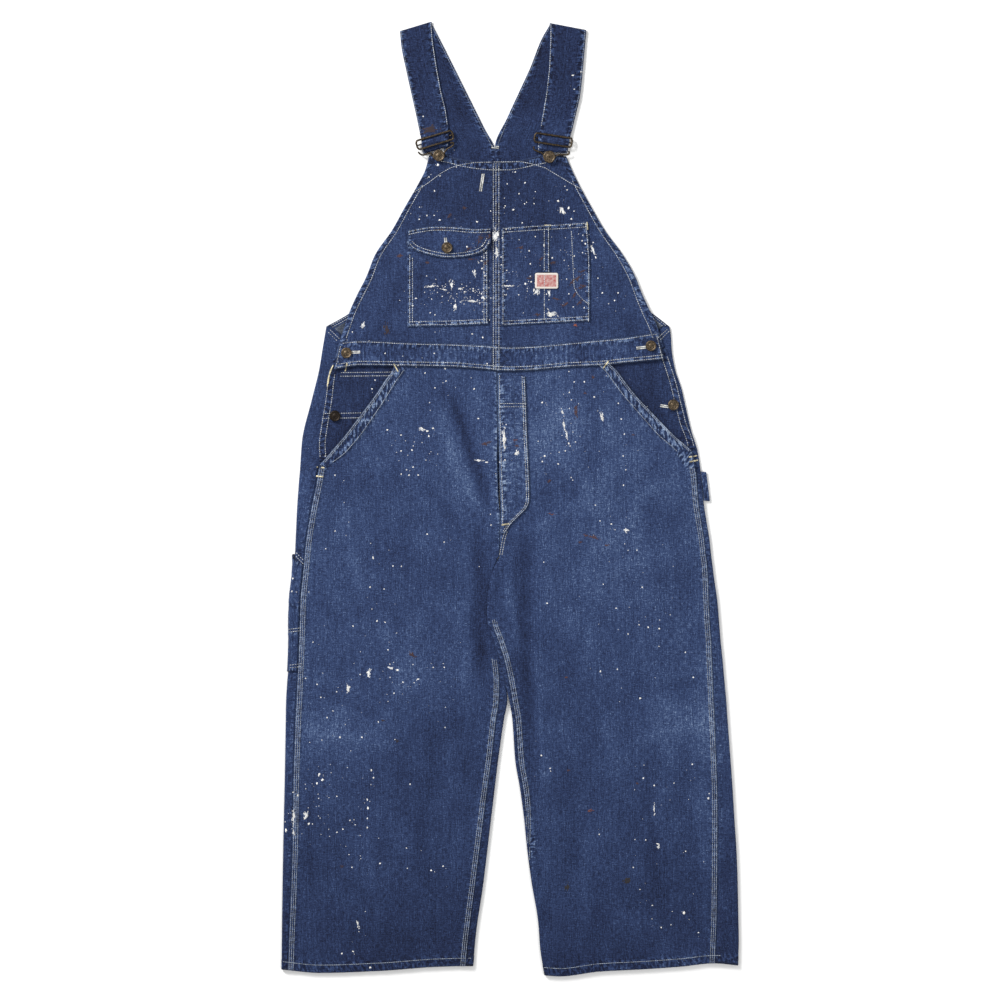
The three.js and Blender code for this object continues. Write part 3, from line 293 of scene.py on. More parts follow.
FOLDS = [
    # x, from, to, lean, half width, height
    (-52, 800, 940, 0.02, 17, -0.9),
    (-78, 540, 700, 0.1, 16, 0.6),
    (24, 760, 1090, 0.05, 16, -1.0),
    (52, 700, 960, 0.07, 20, 0.9),
    (-190, 900, 1180, -0.03, 26, 0.8),
    (-96, 1060, 1300, -0.02, 20, -0.8),
    (190, 960, 1240, 0.04, 26, 0.8),
    (112, 1080, 1290, 0.02, 20, -0.8),
    (-236, 1120, 1330, 0.02, 18, -0.7),
    (246, 760, 980, 0.03, 18, -0.7),
]


def folds(x, down):
    z = 0.0
    for middle, start, end, lean, half, height in FOLDS:
        across = (x - middle - lean * (down - start)) / half
        fade = rise(start, start + 60, down) * (1 - rise(end - 60, end, down))
        z = z + height * fade * np.exp(-across * across)
    return z


def leg_level(side, x, down):
    over = side * CROTCH_LIFT * (1 - rise(20, 90, np.abs(x + 20)))
    near = rise(CROTCH - 60, CROTCH + 20, down) * (1 - rise(930, 1010, down))
    return body_level(x, down) + over * (1 if side > 0 else 0.4) * near + folds(x, down)


HEMS = [
    # x, down
    (-331, 1374), (-275, 1379), (-188, 1376), (-102, 1370), (-54, 1369),
    (50, 1382.5), (72, 1384), (130, 1377), (188, 1374), (246, 1370), (297, 1365), (329, 1368),
]
hem = curve(HEMS, 0, 1)

# Edges of the legs: fold edges (outer, inner) and sewn edges (side seam, inseam).
DOWN, OUTER, SIDE, INNER, INSEAM = range(5)
LEFT_LEG = [
    # down, outer, side, and below the crotch inner and inseam
    (442, -266.4, -259.6), (459, -269.4, -243.6), (476, -272.2, -240.7), (505, -277, -242),
    (549, -287.8, -248), (607, -301.6, -259.6), (636, -303.8, -264), (648, -304.5, -277.6),
    (665, -306, -280.2), (708, -309, -288.8), (763, -311.5, -297.5), (775, -312, -298.5, -16, -16),
    (786, -313, -299.5, -20.9, -24.6), (810, -315.5, -302, -28.2, -32), (839, -319, -304.6, -32, -35.8),
    (865, -319.8, -305.5, -32.6, -36.4), (897, -320, -306.5, -22.6, -26.6),
    (926, -320.6, -307.5, -13.6, -18), (955, -323, -309, -7.2, -15.2), (984, -324.8, -310.2, -4, -15.6),
    (1010, -325.3, -311.6, -8.7, -19.5), (1071, -326.3, -313.8, -17.4, -26.5),
    (1107, -327, -314.8, -21.8, -31.5), (1180, -328.7, -315.8, -30.5, -41), (1252, -330, -318, -39.2, -50),
    (1325, -331, -321, -49.3, -59), (1375, -331.4, -322.6, -53.7, -63.8),
]
RIGHT_LEG = [
    # down, outer, side, and below the crotch inner and inseam
    (442, 230.8, 223.5), (449, 232.2, 216), (459, 233.2, 204.5), (476, 234.2, 200), (505, 239.3, 203),
    (531, 248, 210), (556, 253.8, 219), (595, 263, 233.5), (621, 271.2, 243.6), (636, 274, 252),
    (648, 275.6, 268.6), (665, 277.6, 270.8), (700, 280.8, 273.8), (723, 284.4, 277.4), (752, 289, 282),
    (775, 291.5, 284.4, -15.4, -15.4), (786, 293, 286.2, -20.2, -15.8), (810, 296, 287.5, -27.6, -23.6),
    (839, 300.2, 288.6, -31.5, -27.5), (865, 302.5, 289.8, -32, -28.0), (897, 305, 292, -22, -18.0),
    (926, 308, 293.2, -13, -9.0), (955, 310.5, 294.4, -6.6, -2.6), (984, 313.2, 295.6, -1.6, 2.4),
    (1010, 315, 297, 2.9, 6.9), (1071, 319.5, 299.4, 7.3, 11.3), (1114, 322.5, 301, 14.5, 18.5),
    (1158, 325.2, 301.4, 20.3, 24.3), (1201, 328, 301.2, 24.7, 28.7), (1245, 329.7, 300.8, 30.5, 34.5),
    (1303, 330.8, 300.2, 40.6, 44.6), (1339, 331.4, 299, 43.5, 47.5), (1375, 330.2, 297.5, 49.8, 53.8),
]
LEGS = {"left": (-1, LEFT_LEG), "right": (1, RIGHT_LEG)}
edge = {
    side: {label: curve(rows, DOWN, column) for label, column in
           (("outer", OUTER), ("side", SIDE), ("inner", INNER), ("inseam", INSEAM))}
    for side, (sign, rows) in LEGS.items()
}
SEAT_SEAM = -15.7  # where the back legs meet above the crotch
ARC = 8  # faces round a leg's fold
OVERLAP = 2.2  # how far the right leg lies over the left below the crotch


def flap_level(side, down):
    sign = LEGS[side][0]
    met = leg_level(sign, edge[side]["side"](down), down)
    return FLAP_LEVEL + (met - FLAP_LEVEL) * rise(PLACKET_END - 4, PLACKET_END + 50, down)


# How light the denim is, place by place: washed and worn pale at knees and thighs, dark at the hems,
# darker across the top of the back; with painted shade in two creases and in the rule pocket's mouth
WASH_AND_SHADE = [
    # x, down, half width, half height, amount
    (-30, 270, 190, 95, -0.24),
    # darker across the top of the back and the straps
    (0, 60, 260, 105, -0.34),
    (-90, 600, 135, 125, 0.10),
    (95, 600, 145, 130, 0.20),
    (0, 484, 300, 26, 0.04),
    (-245, 1010, 62, 75, 0.26),
    (262, 1000, 62, 85, 0.22),
    (150, 830, 130, 170, 0.10),
    (-190, 1240, 200, 130, -0.20),
    (190, 1240, 200, 130, -0.18),
    (0, 1410, 420, 100, -0.52),
    # painted shade in the crease left of the right leg's edge, below the crotch
    (-30, 830, 46, 120, -0.14),
    # painted shade down the soft fold of the right leg
    (24, 920, 16, 170, -0.16),
    (-300, 700, 24, 260, 0.14),
    (290, 760, 24, 260, 0.12),
    # painted shadow inside the rule pocket's mouth
    (-304, 768.5, 6, 5, -0.6),
    (-249.5, 446, 5.5, 8, 0.2),
    (221, 442, 5.5, 7, 0.2),
]
blotch = ripple(11)  # broad patches of wear


def wash_and_shade(x, down):
    z = 0.10 * blotch(x / 62, down / 78) + 0.07 * blotch(x / 23 + 40, down / 31)
    for middle, height, half, tall, amount in WASH_AND_SHADE:
        z = z + amount * np.exp(-(((x - middle) / half) ** 2) - ((down - height) / tall) ** 2)
    return z


knots = ripple(5)  # the small lumps of shrunken seams and stiff cloth


def sewn_edges(*edges):
    """Turned and stitched edges of a cloth: how far they rise, their wear and their seam map.

    Each edge is (distance into it, distance along it, width, rise, wear, lean of its ropes).
    """
    height = worn = seam = None
    for index, (into, along, width, lift, wear, lean) in enumerate(edges):
        into, along, width = np.broadcast_arrays(into, along, np.asarray(width, float))
        inside = rise(0, 1.3, into) * (1 - rise(width - 0.6, width + 1.0, into))
        fringe = 0.45 * np.exp(-np.abs(into - width) / 5) * (into > width)
        bump = knots(along / 5.2 + 9 * index, into / 4.6)
        here = lift * inside * (1 + 0.35 * bump) + 0.25 * fringe * bump
        mask = wear * np.maximum(inside, fringe)
        place = np.stack([along + lean * into, into + 37 * index], -1)
        if height is None:
            height, worn, seam = here, mask, place
        else:
            seam = np.where((mask > worn)[..., None], place, seam)
            height, worn = np.maximum(height, here), np.maximum(worn, mask)
    return height, worn, seam


# Denim: an indigo warp over a white weft, in a fine slanting twill. Wear bares the weft, most of
# all on the ropes that shrunken seams throw up. Colours are linear.
INDIGO_TONES = [
    # place on the scale from unworn to bare weft, colour
    (0.0, (0.0045, 0.0062, 0.019)),
    (0.34, (0.0150, 0.0255, 0.070)),
    (0.60, (0.0330, 0.0560, 0.136)),
    (0.80, (0.0900, 0.1350, 0.245)),
    (1.0, (0.26, 0.33, 0.45)),
]


def add(tree, kind, sockets=None, **settings):
    """A new node with its settings and sockets."""
    node = tree.nodes.new(kind)
    for key, value in settings.items():
        setattr(node, key, value)
    return feed(tree, node, sockets or {})


def maths(tree, operation, a, b=0.0, clamp=False):
    node = add(tree, "ShaderNodeMath", {0: a, 1: b}, operation=operation, use_clamp=clamp)
    return node.outputs[0]


def ramp(tree, value, tones):
    """The colour at a value, between tones that are given as (place from 0 to 1, colour)."""
    node = add(tree, "ShaderNodeValToRGB", {"Fac": value})
    stops = node.color_ramp.elements
    for stop, (position, colour) in zip(stops, (tones[0], tones[-1])):
        stop.position, stop.color = position, (*colour, 1)
    for position, colour in tones[1:-1]:
        stops.new(position).color = (*colour, 1)
    return node.outputs["Color"]


def bump(tree, height, strength, distance, over=None):
    """A normal with a height on it, over another normal where one is given."""
    sockets = {"Height": height, "Strength": strength, "Distance": distance}
    if over is not None:
        sockets["Normal"] = over
    return add(tree, "ShaderNodeBump", sockets).outputs["Normal"]


ROPE_PITCH, ROPE_LENGTH = 3.9, 8
FADE_SHARE, MIDDLE_TONE = 0.42, 0.425  # how much the fade counts, and the tone of plain denim
WEAVE_BUMP_M, ROPE_BUMP_M = 0.00035, 0.001


def denim(name, turn=0.0, offset=0.0, light=0.0, tones=INDIGO_TONES):
    """Denim whose warp runs along the piece's weave map, turned by an angle in degrees."""
    shine = {"Roughness": 0.9, "Specular IOR Level": 0.12, "Sheen Weight": 0.05, "Sheen Roughness": 0.5}
    material, tree, shader = new_material(name, shine)
    uv = add(tree, "ShaderNodeUVMap", uv_map="weave").outputs["UV"]
    place = add(tree, "ShaderNodeMapping", {
        "Vector": uv, "Location": (offset, offset * 0.7, 0), "Rotation": (0, 0, math.radians(turn)),
        "Scale": (1000, 1000, 1000),
    }).outputs["Vector"]

    def noise(across, along, detail):
        """Streaks about so many millimetres across and along the warp."""
        sockets = {"Vector": place, "Scale": (1 / across, 1 / along, 1)}
        stretched = add(tree, "ShaderNodeMapping", sockets).outputs["Vector"]
        sockets = {"Vector": stretched, "Scale": 1, "Detail": detail, "Roughness": 0.5}
        return add(tree, "ShaderNodeTexNoise", sockets, noise_dimensions="2D").outputs["Fac"]

    warp, weft, grain = noise(1.7, 8, 2), noise(7, 1.7, 2), noise(1.5, 1.6, 1)
    slub, cloud = noise(2.6, 70, 2), noise(34, 46, 3)
    sockets = {"Value": noise(2.4, 2.2, 1), "From Min": 0.68, "From Max": 0.76}
    nep = add(tree, "ShaderNodeMapRange", sockets).outputs["Result"]
    sockets = {"Vector": place, "Scale": 0.32, "Distortion": 0.6}
    bands = {"wave_type": "BANDS", "bands_direction": "DIAGONAL"}
    twill = add(tree, "ShaderNodeTexWave", sockets, **bands).outputs["Fac"]

    seam_uv = add(tree, "ShaderNodeUVMap", uv_map="seam").outputs["UV"]
    rope_place = add(tree, "ShaderNodeMapping", {
        "Vector": seam_uv, "Location": (offset * 3, offset, 0),
        "Scale": (1000 / ROPE_PITCH, 1000 / ROPE_LENGTH, 1),
    }).outputs["Vector"]
    sockets = {"Vector": rope_place, "Scale": 1, "Detail": 0.8, "Distortion": 0.25}
    rope_noise = add(tree, "ShaderNodeTexNoise", sockets, noise_dimensions="2D").outputs["Fac"]
    sockets = {"Value": rope_noise, "From Min": 0.38, "From Max": 0.62, "To Min": -1, "To Max": 1}
    puckers = add(tree, "ShaderNodeMapRange", sockets, interpolation_type="SMOOTHSTEP").outputs["Result"]

    # the fade attribute holds the washed tone together with the painted light and shade that some pieces
    # lay on
    fade = add(tree, "ShaderNodeAttribute", attribute_name="fade").outputs["Fac"]
    worn = add(tree, "ShaderNodeAttribute", attribute_name="worn").outputs["Fac"]
    rope = maths(tree, "MULTIPLY", puckers, worn)
    value = maths(tree, "MULTIPLY", fade, FADE_SHARE)
    shares = (
        # what counts, the value at which it counts for nothing, and how much it counts
        (warp, 0.5, 0.48), (weft, 0.5, 0.42), (grain, 0.5, 0.62), (slub, 0.5, 0.24), (cloud, 0.5, 0.20),
        (nep, 0.0, 0.16), (twill, 0.5, 0.08), (worn, 0.0, 0.045), (rope, 0.0, 0.33),
    )
    for part, middle, amount in shares:
        share = maths(tree, "MULTIPLY", maths(tree, "SUBTRACT", part, middle), amount)
        value = maths(tree, "ADD", value, share)
    value = maths(tree, "ADD", value, MIDDLE_TONE + light, True)
    height = maths(tree, "ADD", maths(tree, "MULTIPLY", twill, 0.3), warp)
    threads = bump(tree, maths(tree, "ADD", height, grain), 0.6, WEAVE_BUMP_M)
    ropes = bump(tree, rope, 0.8, ROPE_BUMP_M, threads)
    feed(tree, shader, {"Base Color": ramp(tree, value, tones), "Normal": ropes})
    return material


cloth_pieces = []


def declare(piece, node=None):
    """Puts a piece on the root body and hides the node it stands for, if any."""
    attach(piece, "root")
    if node:
        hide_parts(node)


def finish_cloth(piece, node, material):
    piece.data.materials.append(material)
    declare(piece, node)
    cloth_pieces.append(piece)


STEP = 3.4  # from one row of points to the next, down a large piece
FLAT_COLUMNS = 16  # points across the part of a back leg that lies on the table


def back_leg(side):
    sign = LEGS[side][0]
    marks = [BACK_SEAM + GAP, PLACKET_END, 700, CROTCH, 786, 984, HEM_LINE - HEM_WIDTH, HEM_LINE]
    outer, inner, weave, worn, seam = [], [], [], [], []
    turn = np.linspace(np.pi / 2, -np.pi / 2, ARC + 1)
    flat_share = np.array([0, 0.2, 0.4, 0.6, 0.8])
    shrink = ripple(21 if side == "left" else 22)

    def fold_side(end, fold, level, towards, down):
        """Points from a flap's end over its fold to the table: outer and inner [x, z]."""
        radius = (level + CLOTH) / 2
        middle = fold + towards * radius
        x = end + (middle - end) * flat_share
        waves = 0.3 * shrink(x / 11, down / 13) * rise(0, 0.35, flat_share)
        hem_here = HEM_WIDTH * 0.05 * rise(HEM_LINE - HEM_WIDTH - 2, HEM_LINE - HEM_WIDTH, down)
        over = np.stack([x, np.full_like(x, 2 * radius) + waves + hem_here], -1)
        beneath = np.stack([x, np.full_like(x, level)], -1)
        big, small = radius + hem_here * 0.5, radius - CLOTH
        arc_out = np.stack([middle - towards * big * np.cos(turn), radius + big * np.sin(turn)], -1)
        arc_in = np.stack([middle - towards * small * np.cos(turn), radius + small * np.sin(turn)], -1)
        arc_out[:, 1] = np.maximum(arc_out[:, 1], 0)
        return np.concatenate([over, arc_out]), np.concatenate([beneath, arc_in])

    for down in stations(marks, STEP):
        lines = {label: float(line(down)) for label, line in edge[side].items()}
        level = float(flap_level(side, down))
        out, into = fold_side(lines["side"], lines["outer"], level, -sign, down)
        if down > CROTCH:
            inseam, fold = lines["inseam"], lines["inner"]
            if side == "right":
                fold -= OVERLAP * float(rise(775, 800, down) * (1 - rise(950, 985, down)))
            inner_level = float(leg_level(sign, inseam, down))
            far_out, far_in = fold_side(inseam, fold, inner_level, sign, down)
            far_out, far_in = far_out[::-1], far_in[::-1]
        else:
            count = len(out)
            x = SEAT_SEAM + sign * GAP + sign * 0.8 * np.arange(count - 1, -1, -1)
            far_out = np.stack([x, np.zeros(count)], -1)
            far_in = np.stack([x, np.full(count, CLOTH)], -1)
        between = np.linspace(out[-1, 0], far_out[0, 0], FLAT_COLUMNS + 2)[1:-1]
        flat_out = np.stack([between, np.zeros(FLAT_COLUMNS)], -1)
        flat_in = np.stack([between, np.full(FLAT_COLUMNS, CLOTH)], -1)
        section_out = np.concatenate([out, flat_out, far_out])
        section_in = np.concatenate([into, flat_in, far_in])
        bottom = (hem(section_out[:, 0]) - HEM_LINE) * rise(1230, HEM_LINE, down)
        outer.append(np.stack([section_out[:, 0], down + bottom, section_out[:, 1]], -1))
        inner.append(np.stack([section_in[:, 0], down + bottom, section_in[:, 1]], -1))
        steps = np.linalg.norm(np.diff(section_out, axis=0), axis=1)
        across = np.r_[0, np.cumsum(steps)]
        weave.append(np.stack([across, np.full_like(across, down)], -1))
        from_ends = np.minimum(across, across[-1] - across if down > CROTCH else across + 99)
        edges = [(from_ends, down + 0 * across, 5, 0, 0.4, 0)]
        if down > HEM_LINE - HEM_BAND - 8:
            edges.append((HEM_LINE - down + 0 * across, across, HEM_BAND, 0, 0.5, 0.3))
        _, rubbed, directions = sewn_edges(*edges)
        worn.append(rubbed)
        seam.append(directions)
    outer, inner = np.array(outer), np.array(inner)
    # a little darker all over: painted shade on the back legs
    fade = wash_and_shade(outer[..., 0], outer[..., 1]) - 0.1
    maps = np.array(weave), fade, np.array(worn), np.array(seam)
    return wall(f"back_leg_{side}_denim", outer, inner, *maps)


for side, offset in (("left", 3.1), ("right", 5.7)):
    piece = back_leg(side)
    material = denim(f"denim_back_leg_{side}", offset=offset)
    finish_cloth(piece, f"back_leg_{side}", material)

# The front legs.
# Each is one cut of denim from the waist to the hem, cut away on a slant for the hip pocket,
# with a puckered band of two stitched layers along that cut and felled seams down both sides.
WAISTBAND = [
    # x, top, bottom
    (-256, 466, 505), (-217, 462.5, 499.5), (-145, 465.5, 500.5), (-87, 467, 501.5),
    (-43, 469, 504.5), (0, 471.5, 507.5), (29, 470.5, 506.5), (87, 465.5, 501.5),
    (130, 461.5, 499.5), (167, 458, 495.5), (210, 451.5, 491.5), (226, 450, 489.5),
]
band_top, band_bottom = curve(WAISTBAND, 0, 1), curve(WAISTBAND, 0, 2)
WAIST = 490  # the nominal start of the legs, under the waistband
LEFT_SLANT = [
    # down, x
    (490, -168.5), (507, -169.8), (523, -181.3), (543, -195.8), (562, -210.3), (581, -224.8),
    (600, -239.3), (617, -253.8), (634, -268.3), (643, -276.6),
]
RIGHT_SLANT = [
    # down, x
    (490, 139), (501, 142.1), (510, 152.3), (527, 166.8), (543, 181.3), (557, 195.8),
    (572, 210.3), (587, 224.8), (602, 239.3), (614, 253.8), (623, 263), (643, 267.6),
]
FLY_SEAM = [
    # down, x
    (490, -18.9), (553, -18.6), (592, -17.4), (665, -15.6), (708, -14.2), (775, -15.7),
]
BAND_WIDTH = 18  # the slant pockets' band, measured across, at the waist
BAND_WIDENS = 6  # and how much wider it is at its lower end
slant = {"left": curve(LEFT_SLANT, 0, 1), "right": curve(RIGHT_SLANT, 0, 1)}
fly_seam = curve(FLY_SEAM, 0, 1)


def waist_line(x):
    return (band_top(x) + band_bottom(x)) / 2 + 3


def settle(x, down):
    """Moves a nominal distance down so that a panel runs from the waist line to its hem."""
    top = (waist_line(x) + GAP - WAIST) * (1 - rise(WAIST, 560, down))
    bottom = (hem(x) - HEM_LINE) * rise(1230, HEM_LINE, down)
    return down + top + bottom


def front_outer(side, down):
    sign = LEGS[side][0]
    sewn = edge[side]["side"](down) - sign * GAP
    return np.where(down <= PLACKET_END, slant[side](down), sewn)


def front_inner(side, down):
    seam = np.where(down <= CROTCH, fly_seam(down), edge[side]["inseam"](down))
    return seam + LEGS[side][0] * GAP


def band_at(down):
    widening = BAND_WIDTH - SEAM_WIDTH + BAND_WIDENS * rise(510, 610, down)
    return SEAM_WIDTH + widening * (1 - rise(PLACKET_END - 22, PLACKET_END + 16, down))


# Creases that lie in the front of the legs: soft troughs and ridges
CREASES = [
    # x, down, length, slant in degrees, half width, height
    (-56, 631, 205, -20, 9, -1.7),
    (-76, 640, 170, -22, 11, 0.8),
    (-40, 860, 200, -3, 9, -1.4),
    (-62, 880, 200, 3, 9, 0.7),
    (23, 925, 340, 0, 12, -1.0),
    (44, 1000, 300, -5, 9, 0.7),
    (2, 850, 140, -12, 8, 0.8),
    (-100, 700, 130, -40, 8, -0.5),
    (-84, 560, 90, -12, 6, 0.5),
    (60, 720, 120, 62, 8, 0.5),
    (110, 650, 130, 56, 8, -0.5),
    (170, 720, 150, 40, 9, 0.5),
    (-190, 620, 120, -40, 8, -0.5),
    (-230, 760, 150, -12, 8, 0.5),
    (-150, 930, 180, 18, 10, 0.5),
    (-240, 985, 110, -70, 9, -0.5),
    (-225, 1040, 120, -76, 9, 0.5),
    (-120, 1130, 200, 6, 9, -0.6),
    (-200, 1230, 180, -4, 9, 0.6),
    (-290, 1180, 210, -2, 7, -0.5),
    (250, 960, 120, 72, 9, -0.5),
    (238, 1030, 130, 76, 9, 0.5),
    (130, 960, 220, -10, 10, 0.5),
    (205, 1180, 220, -4, 9, -0.6),
    (110, 1240, 180, 4, 9, 0.6),
    (280, 1150, 240, -3, 8, 0.5),
]
swell = ripple(8)  # the soft unevenness of cloth that lies loose


def creases(x, down, table=CREASES):
    z = 0.25 * swell(x / 42, down / 60) + 0.12 * swell(x / 15 + 9, down / 19)
    for middle, height, length, degrees, half, amount in table:
        a = math.radians(degrees)
        u = (x - middle) * math.cos(a) + (down - height) * math.sin(a)
        v = -(x - middle) * math.sin(a) + (down - height) * math.cos(a)
        u = u + 3.5 * swell(v / 35 + middle, height)
        z = z + amount * np.exp(-((u / half) ** 2)) * np.exp(-((2 * v / length) ** 4))
    return z


FLY_GAPE = 2.4  # how far the fly's left edge draws back where it stands open
POCKET_GAPE = 2.2  # how far a slant pocket's edge stands up
# Where the inseams come into sight and go out of it over the fold: out, in, in, out
INSEAM_SHOWS = {"left": (905, 945, 2000, 2001), "right": (850, 880, 1200, 1260)}
ROLL = 3.4  # how far the cloth runs on over the fold where the inseam is out of sight


def front_leg(side):
    sign = LEGS[side][0]
    rows = stations([WAIST, PLACKET_END, CROTCH, 786, 984, HEM_LINE - HEM_WIDTH], STEP)
    rows = np.r_[rows, stations([HEM_LINE - HEM_WIDTH, HEM_LINE - 1.2, HEM_LINE], 1.6)[1:]]
    near = np.array([0, 0.5, 1.3, 2.6, 4.2, 5.8, 7.2, 8.4, 9.4, 10.6])
    middle = np.linspace(0, 1, 86)[1:-1]
    v = rows[:, None]
    a, b = front_outer(side, v), front_inner(side, v)
    gape = rise(575, 640, v) * (1 - rise(690, 722, v))
    if side == "left":
        b = b - FLY_GAPE * gape
    from_down, full_down, fade_down, gone_down = INSEAM_SHOWS[side]
    shows = rise(from_down, full_down, v) * (1 - rise(fade_down, gone_down, v))
    rolled = rise(CROTCH, CROTCH + 15, v) * (1 - shows)
    b = b - sign * ROLL * rolled
    to_b = np.sign(b - a)
    scale = band_at(v) / SEAM_WIDTH
    start, end = a + to_b * (band_at(v) + 2.4), b - to_b * (SEAM_WIDTH + 2.4)
    x = np.concatenate([a + to_b * near * scale, start + (end - start) * middle, b - to_b * near[::-1]], 1)
    down = settle(x, v)
    into_outer, into_inner, into_hem = np.abs(x - a), np.abs(b - x), HEM_LINE - v
    on_slant = 1 - rise(PLACKET_END, PLACKET_END + 30, v)
    at_fly = 1 - rise(CROTCH - 20, CROTCH, v)
    outer_wear, outer_lean = 0.5 + 0.3 * on_slant, 0.2 - 1.2 * on_slant
    inner_width, inner_wear = SEAM_WIDTH * shows + 4 * at_fly + 0.1, 0.68 * shows * shows + 0.6 * at_fly
    height, worn, seam = sewn_edges(
        (into_outer, v, band_at(v), SEAM_RISE * (1 + 0.9 * on_slant), outer_wear, outer_lean),
        (into_inner, v, inner_width, SEAM_RISE * shows, inner_wear, 0.2),
        (into_hem, x, HEM_BAND, 0.9, 0.5, 0.3),
    )
    clear = np.minimum(rise(6, 22, into_outer), rise(6, 22, into_inner)) * rise(14, 40, into_hem)
    clear = clear * rise(510, 540, v)
    open_pocket = POCKET_GAPE * rise(500, 545, v) * (1 - rise(600, 640, v)) * np.exp(-into_outer / 14)
    open_fly = 0.9 * gape * np.exp(-into_inner / 9) + 0.7 * rolled * np.exp(-into_inner / 9)
    crease = creases(x, down) * clear
    rest = leg_level(sign, x, down)
    under = rest + open_pocket + open_fly + np.clip(crease, 0, None) * 0.8
    rounded = 0.5 * (np.exp(-into_outer / 0.5) + np.exp(-into_inner / 0.5) + np.exp(-into_hem / 0.5))
    over = rest + open_pocket + open_fly + CLOTH + height + crease - np.minimum(rounded, 0.7)
    inner_pale = np.exp(-into_inner / 1.4) * (at_fly + shows)
    edge_pale = np.exp(-into_outer / 1.4) + inner_pale + np.exp(-into_hem / 1.4)
    # paler on the creases' ridges and darker in their troughs: painted light and shade that follow the
    # folds; the pale edges are wear
    fade = wash_and_shade(x, down) + 0.32 * crease + 0.5 * np.minimum(edge_pale, 1)
    if side == "left":  # the right leg's edge lies over this one and shades it
        fade = fade - 0.5 * rise(775, 830, v) * (1 - rise(900, 960, v)) * np.exp(-into_inner / 13)
    return panel(f"front_leg_{side}_denim", x, down, over, under, fade, worn, seam)


for side, offset in (("left", 0.4), ("right", 1.9)):
    piece = front_leg(side)
    material = denim(f"denim_front_leg_{side}", offset=offset, light=0.02)
    finish_cloth(piece, f"front_leg_{side}", material)

# The high back and its straps.
# Each half of the back is cut in one with its shoulder strap, faced down to the neck point. The
# strap is folded forward at the shoulder and runs down through the buckle to the hook.
STRAP_CLOTH = 1.7  # a strap with its facing
LEFT_STRAP = [
    # outer x, outer down, inner x, inner down, lift
    (-125.4, 192.1, -89.9, 181.3, 2.0), (-126.9, 188.5, -89.2, 176.9, 2.6),
    (-127.6, 184.9, -89.2, 173.3, 2.6), (-128.3, 179.1, -89.2, 166.8, 4.7),
    (-129, 171.1, -89.2, 158.8, 2.6), (-131.2, 160.2, -89.9, 148.6, 2.2),
    (-136.3, 135.6, -92.8, 128.3, 2.1), (-142.8, 106.6, -99.3, 102.2, 2.1),
    (-150.8, 70.3, -105.9, 66, 2.1), (-158, 34.1, -111.4, 29.7, 2.1),
]
LEFT_SHOULDER = (-159.5, 13.8, -113.8, 0)
LEFT_BACK = [
    (-155.2, 34.1, -100.1, 29.7), (-143.6, 77.6, -78.3, 73.2), (-127.6, 121.1, -56.6, 116.7),
    (-110.2, 157.3, -36.3, 157.3), (-95.7, 183.4, -23.2, 182), (-94.3, 208, -18.9, 208),
    (-107.3, 244, -17.4, 244), (-142.1, 302, -16, 302), (-181.3, 367, -16, 367),
    (-217.5, 411, -16, 411), (-239.3, 427, -16, 427), (-265.5, BACK_SEAM, -16, BACK_SEAM),
]
RIGHT_STRAP = [
    (81.9, 191.4, 39.9, 187.8, 2.0), (83.4, 187.8, 39.6, 183.4, 2.6),
    (84, 183.4, 39.9, 176.9, 2.6), (85.4, 176, 40.6, 168.9, 4.7),
    (86.8, 168.2, 42.1, 161, 2.6), (89.9, 157.3, 43.5, 151.5, 2.2),
    (95, 135.6, 46.8, 132.7, 2.1), (101.5, 106.6, 51.5, 103.7, 2.1),
    (105.3, 70.3, 55.5, 67.4, 2.1), (108.8, 31.2, 57.3, 26.8, 2.1),
]
RIGHT_SHOULDER = (110.2, 12.3, 57.3, 2.2)
RIGHT_BACK = [
    (101.5, 34.1, 45, 26.8), (88.5, 77.6, 29, 67.4), (75.4, 113.8, 13, 102.2),
    (60.9, 150.1, -4.4, 139.9), (47.9, 184.9, -22, 182), (50.8, 208, -18.3, 208),
    (72.5, 244, -16.8, 244), (116, 302, -15.4, 302), (158, 367, -15.4, 367),
    (188.5, 411, -15.4, 411), (210, 426, -15.4, 426), (230, BACK_SEAM, -15.4, BACK_SEAM),
]
STRAP_HEM = 7  # the stitched edge of a strap and of the neck


def resample(rows, step):
    """Rows of numbers spread evenly along their first end, by smooth interpolation."""
    rows = np.array(rows, float)
    travel = np.r_[0, np.cumsum(np.hypot(np.diff(rows[:, 0]), np.diff(rows[:, 1])))]
    at = np.linspace(0, travel[-1], max(2, round(travel[-1] / step)))
    table = [(t, *row) for t, row in zip(travel, rows)]
    return np.stack([curve(table, 0, k + 1)(at) for k in range(rows.shape[1])], -1)


SHORT_OF_FOLD = 3  # how far before the shoulder the strap starts to turn
SHOULDER_TURNS = 9


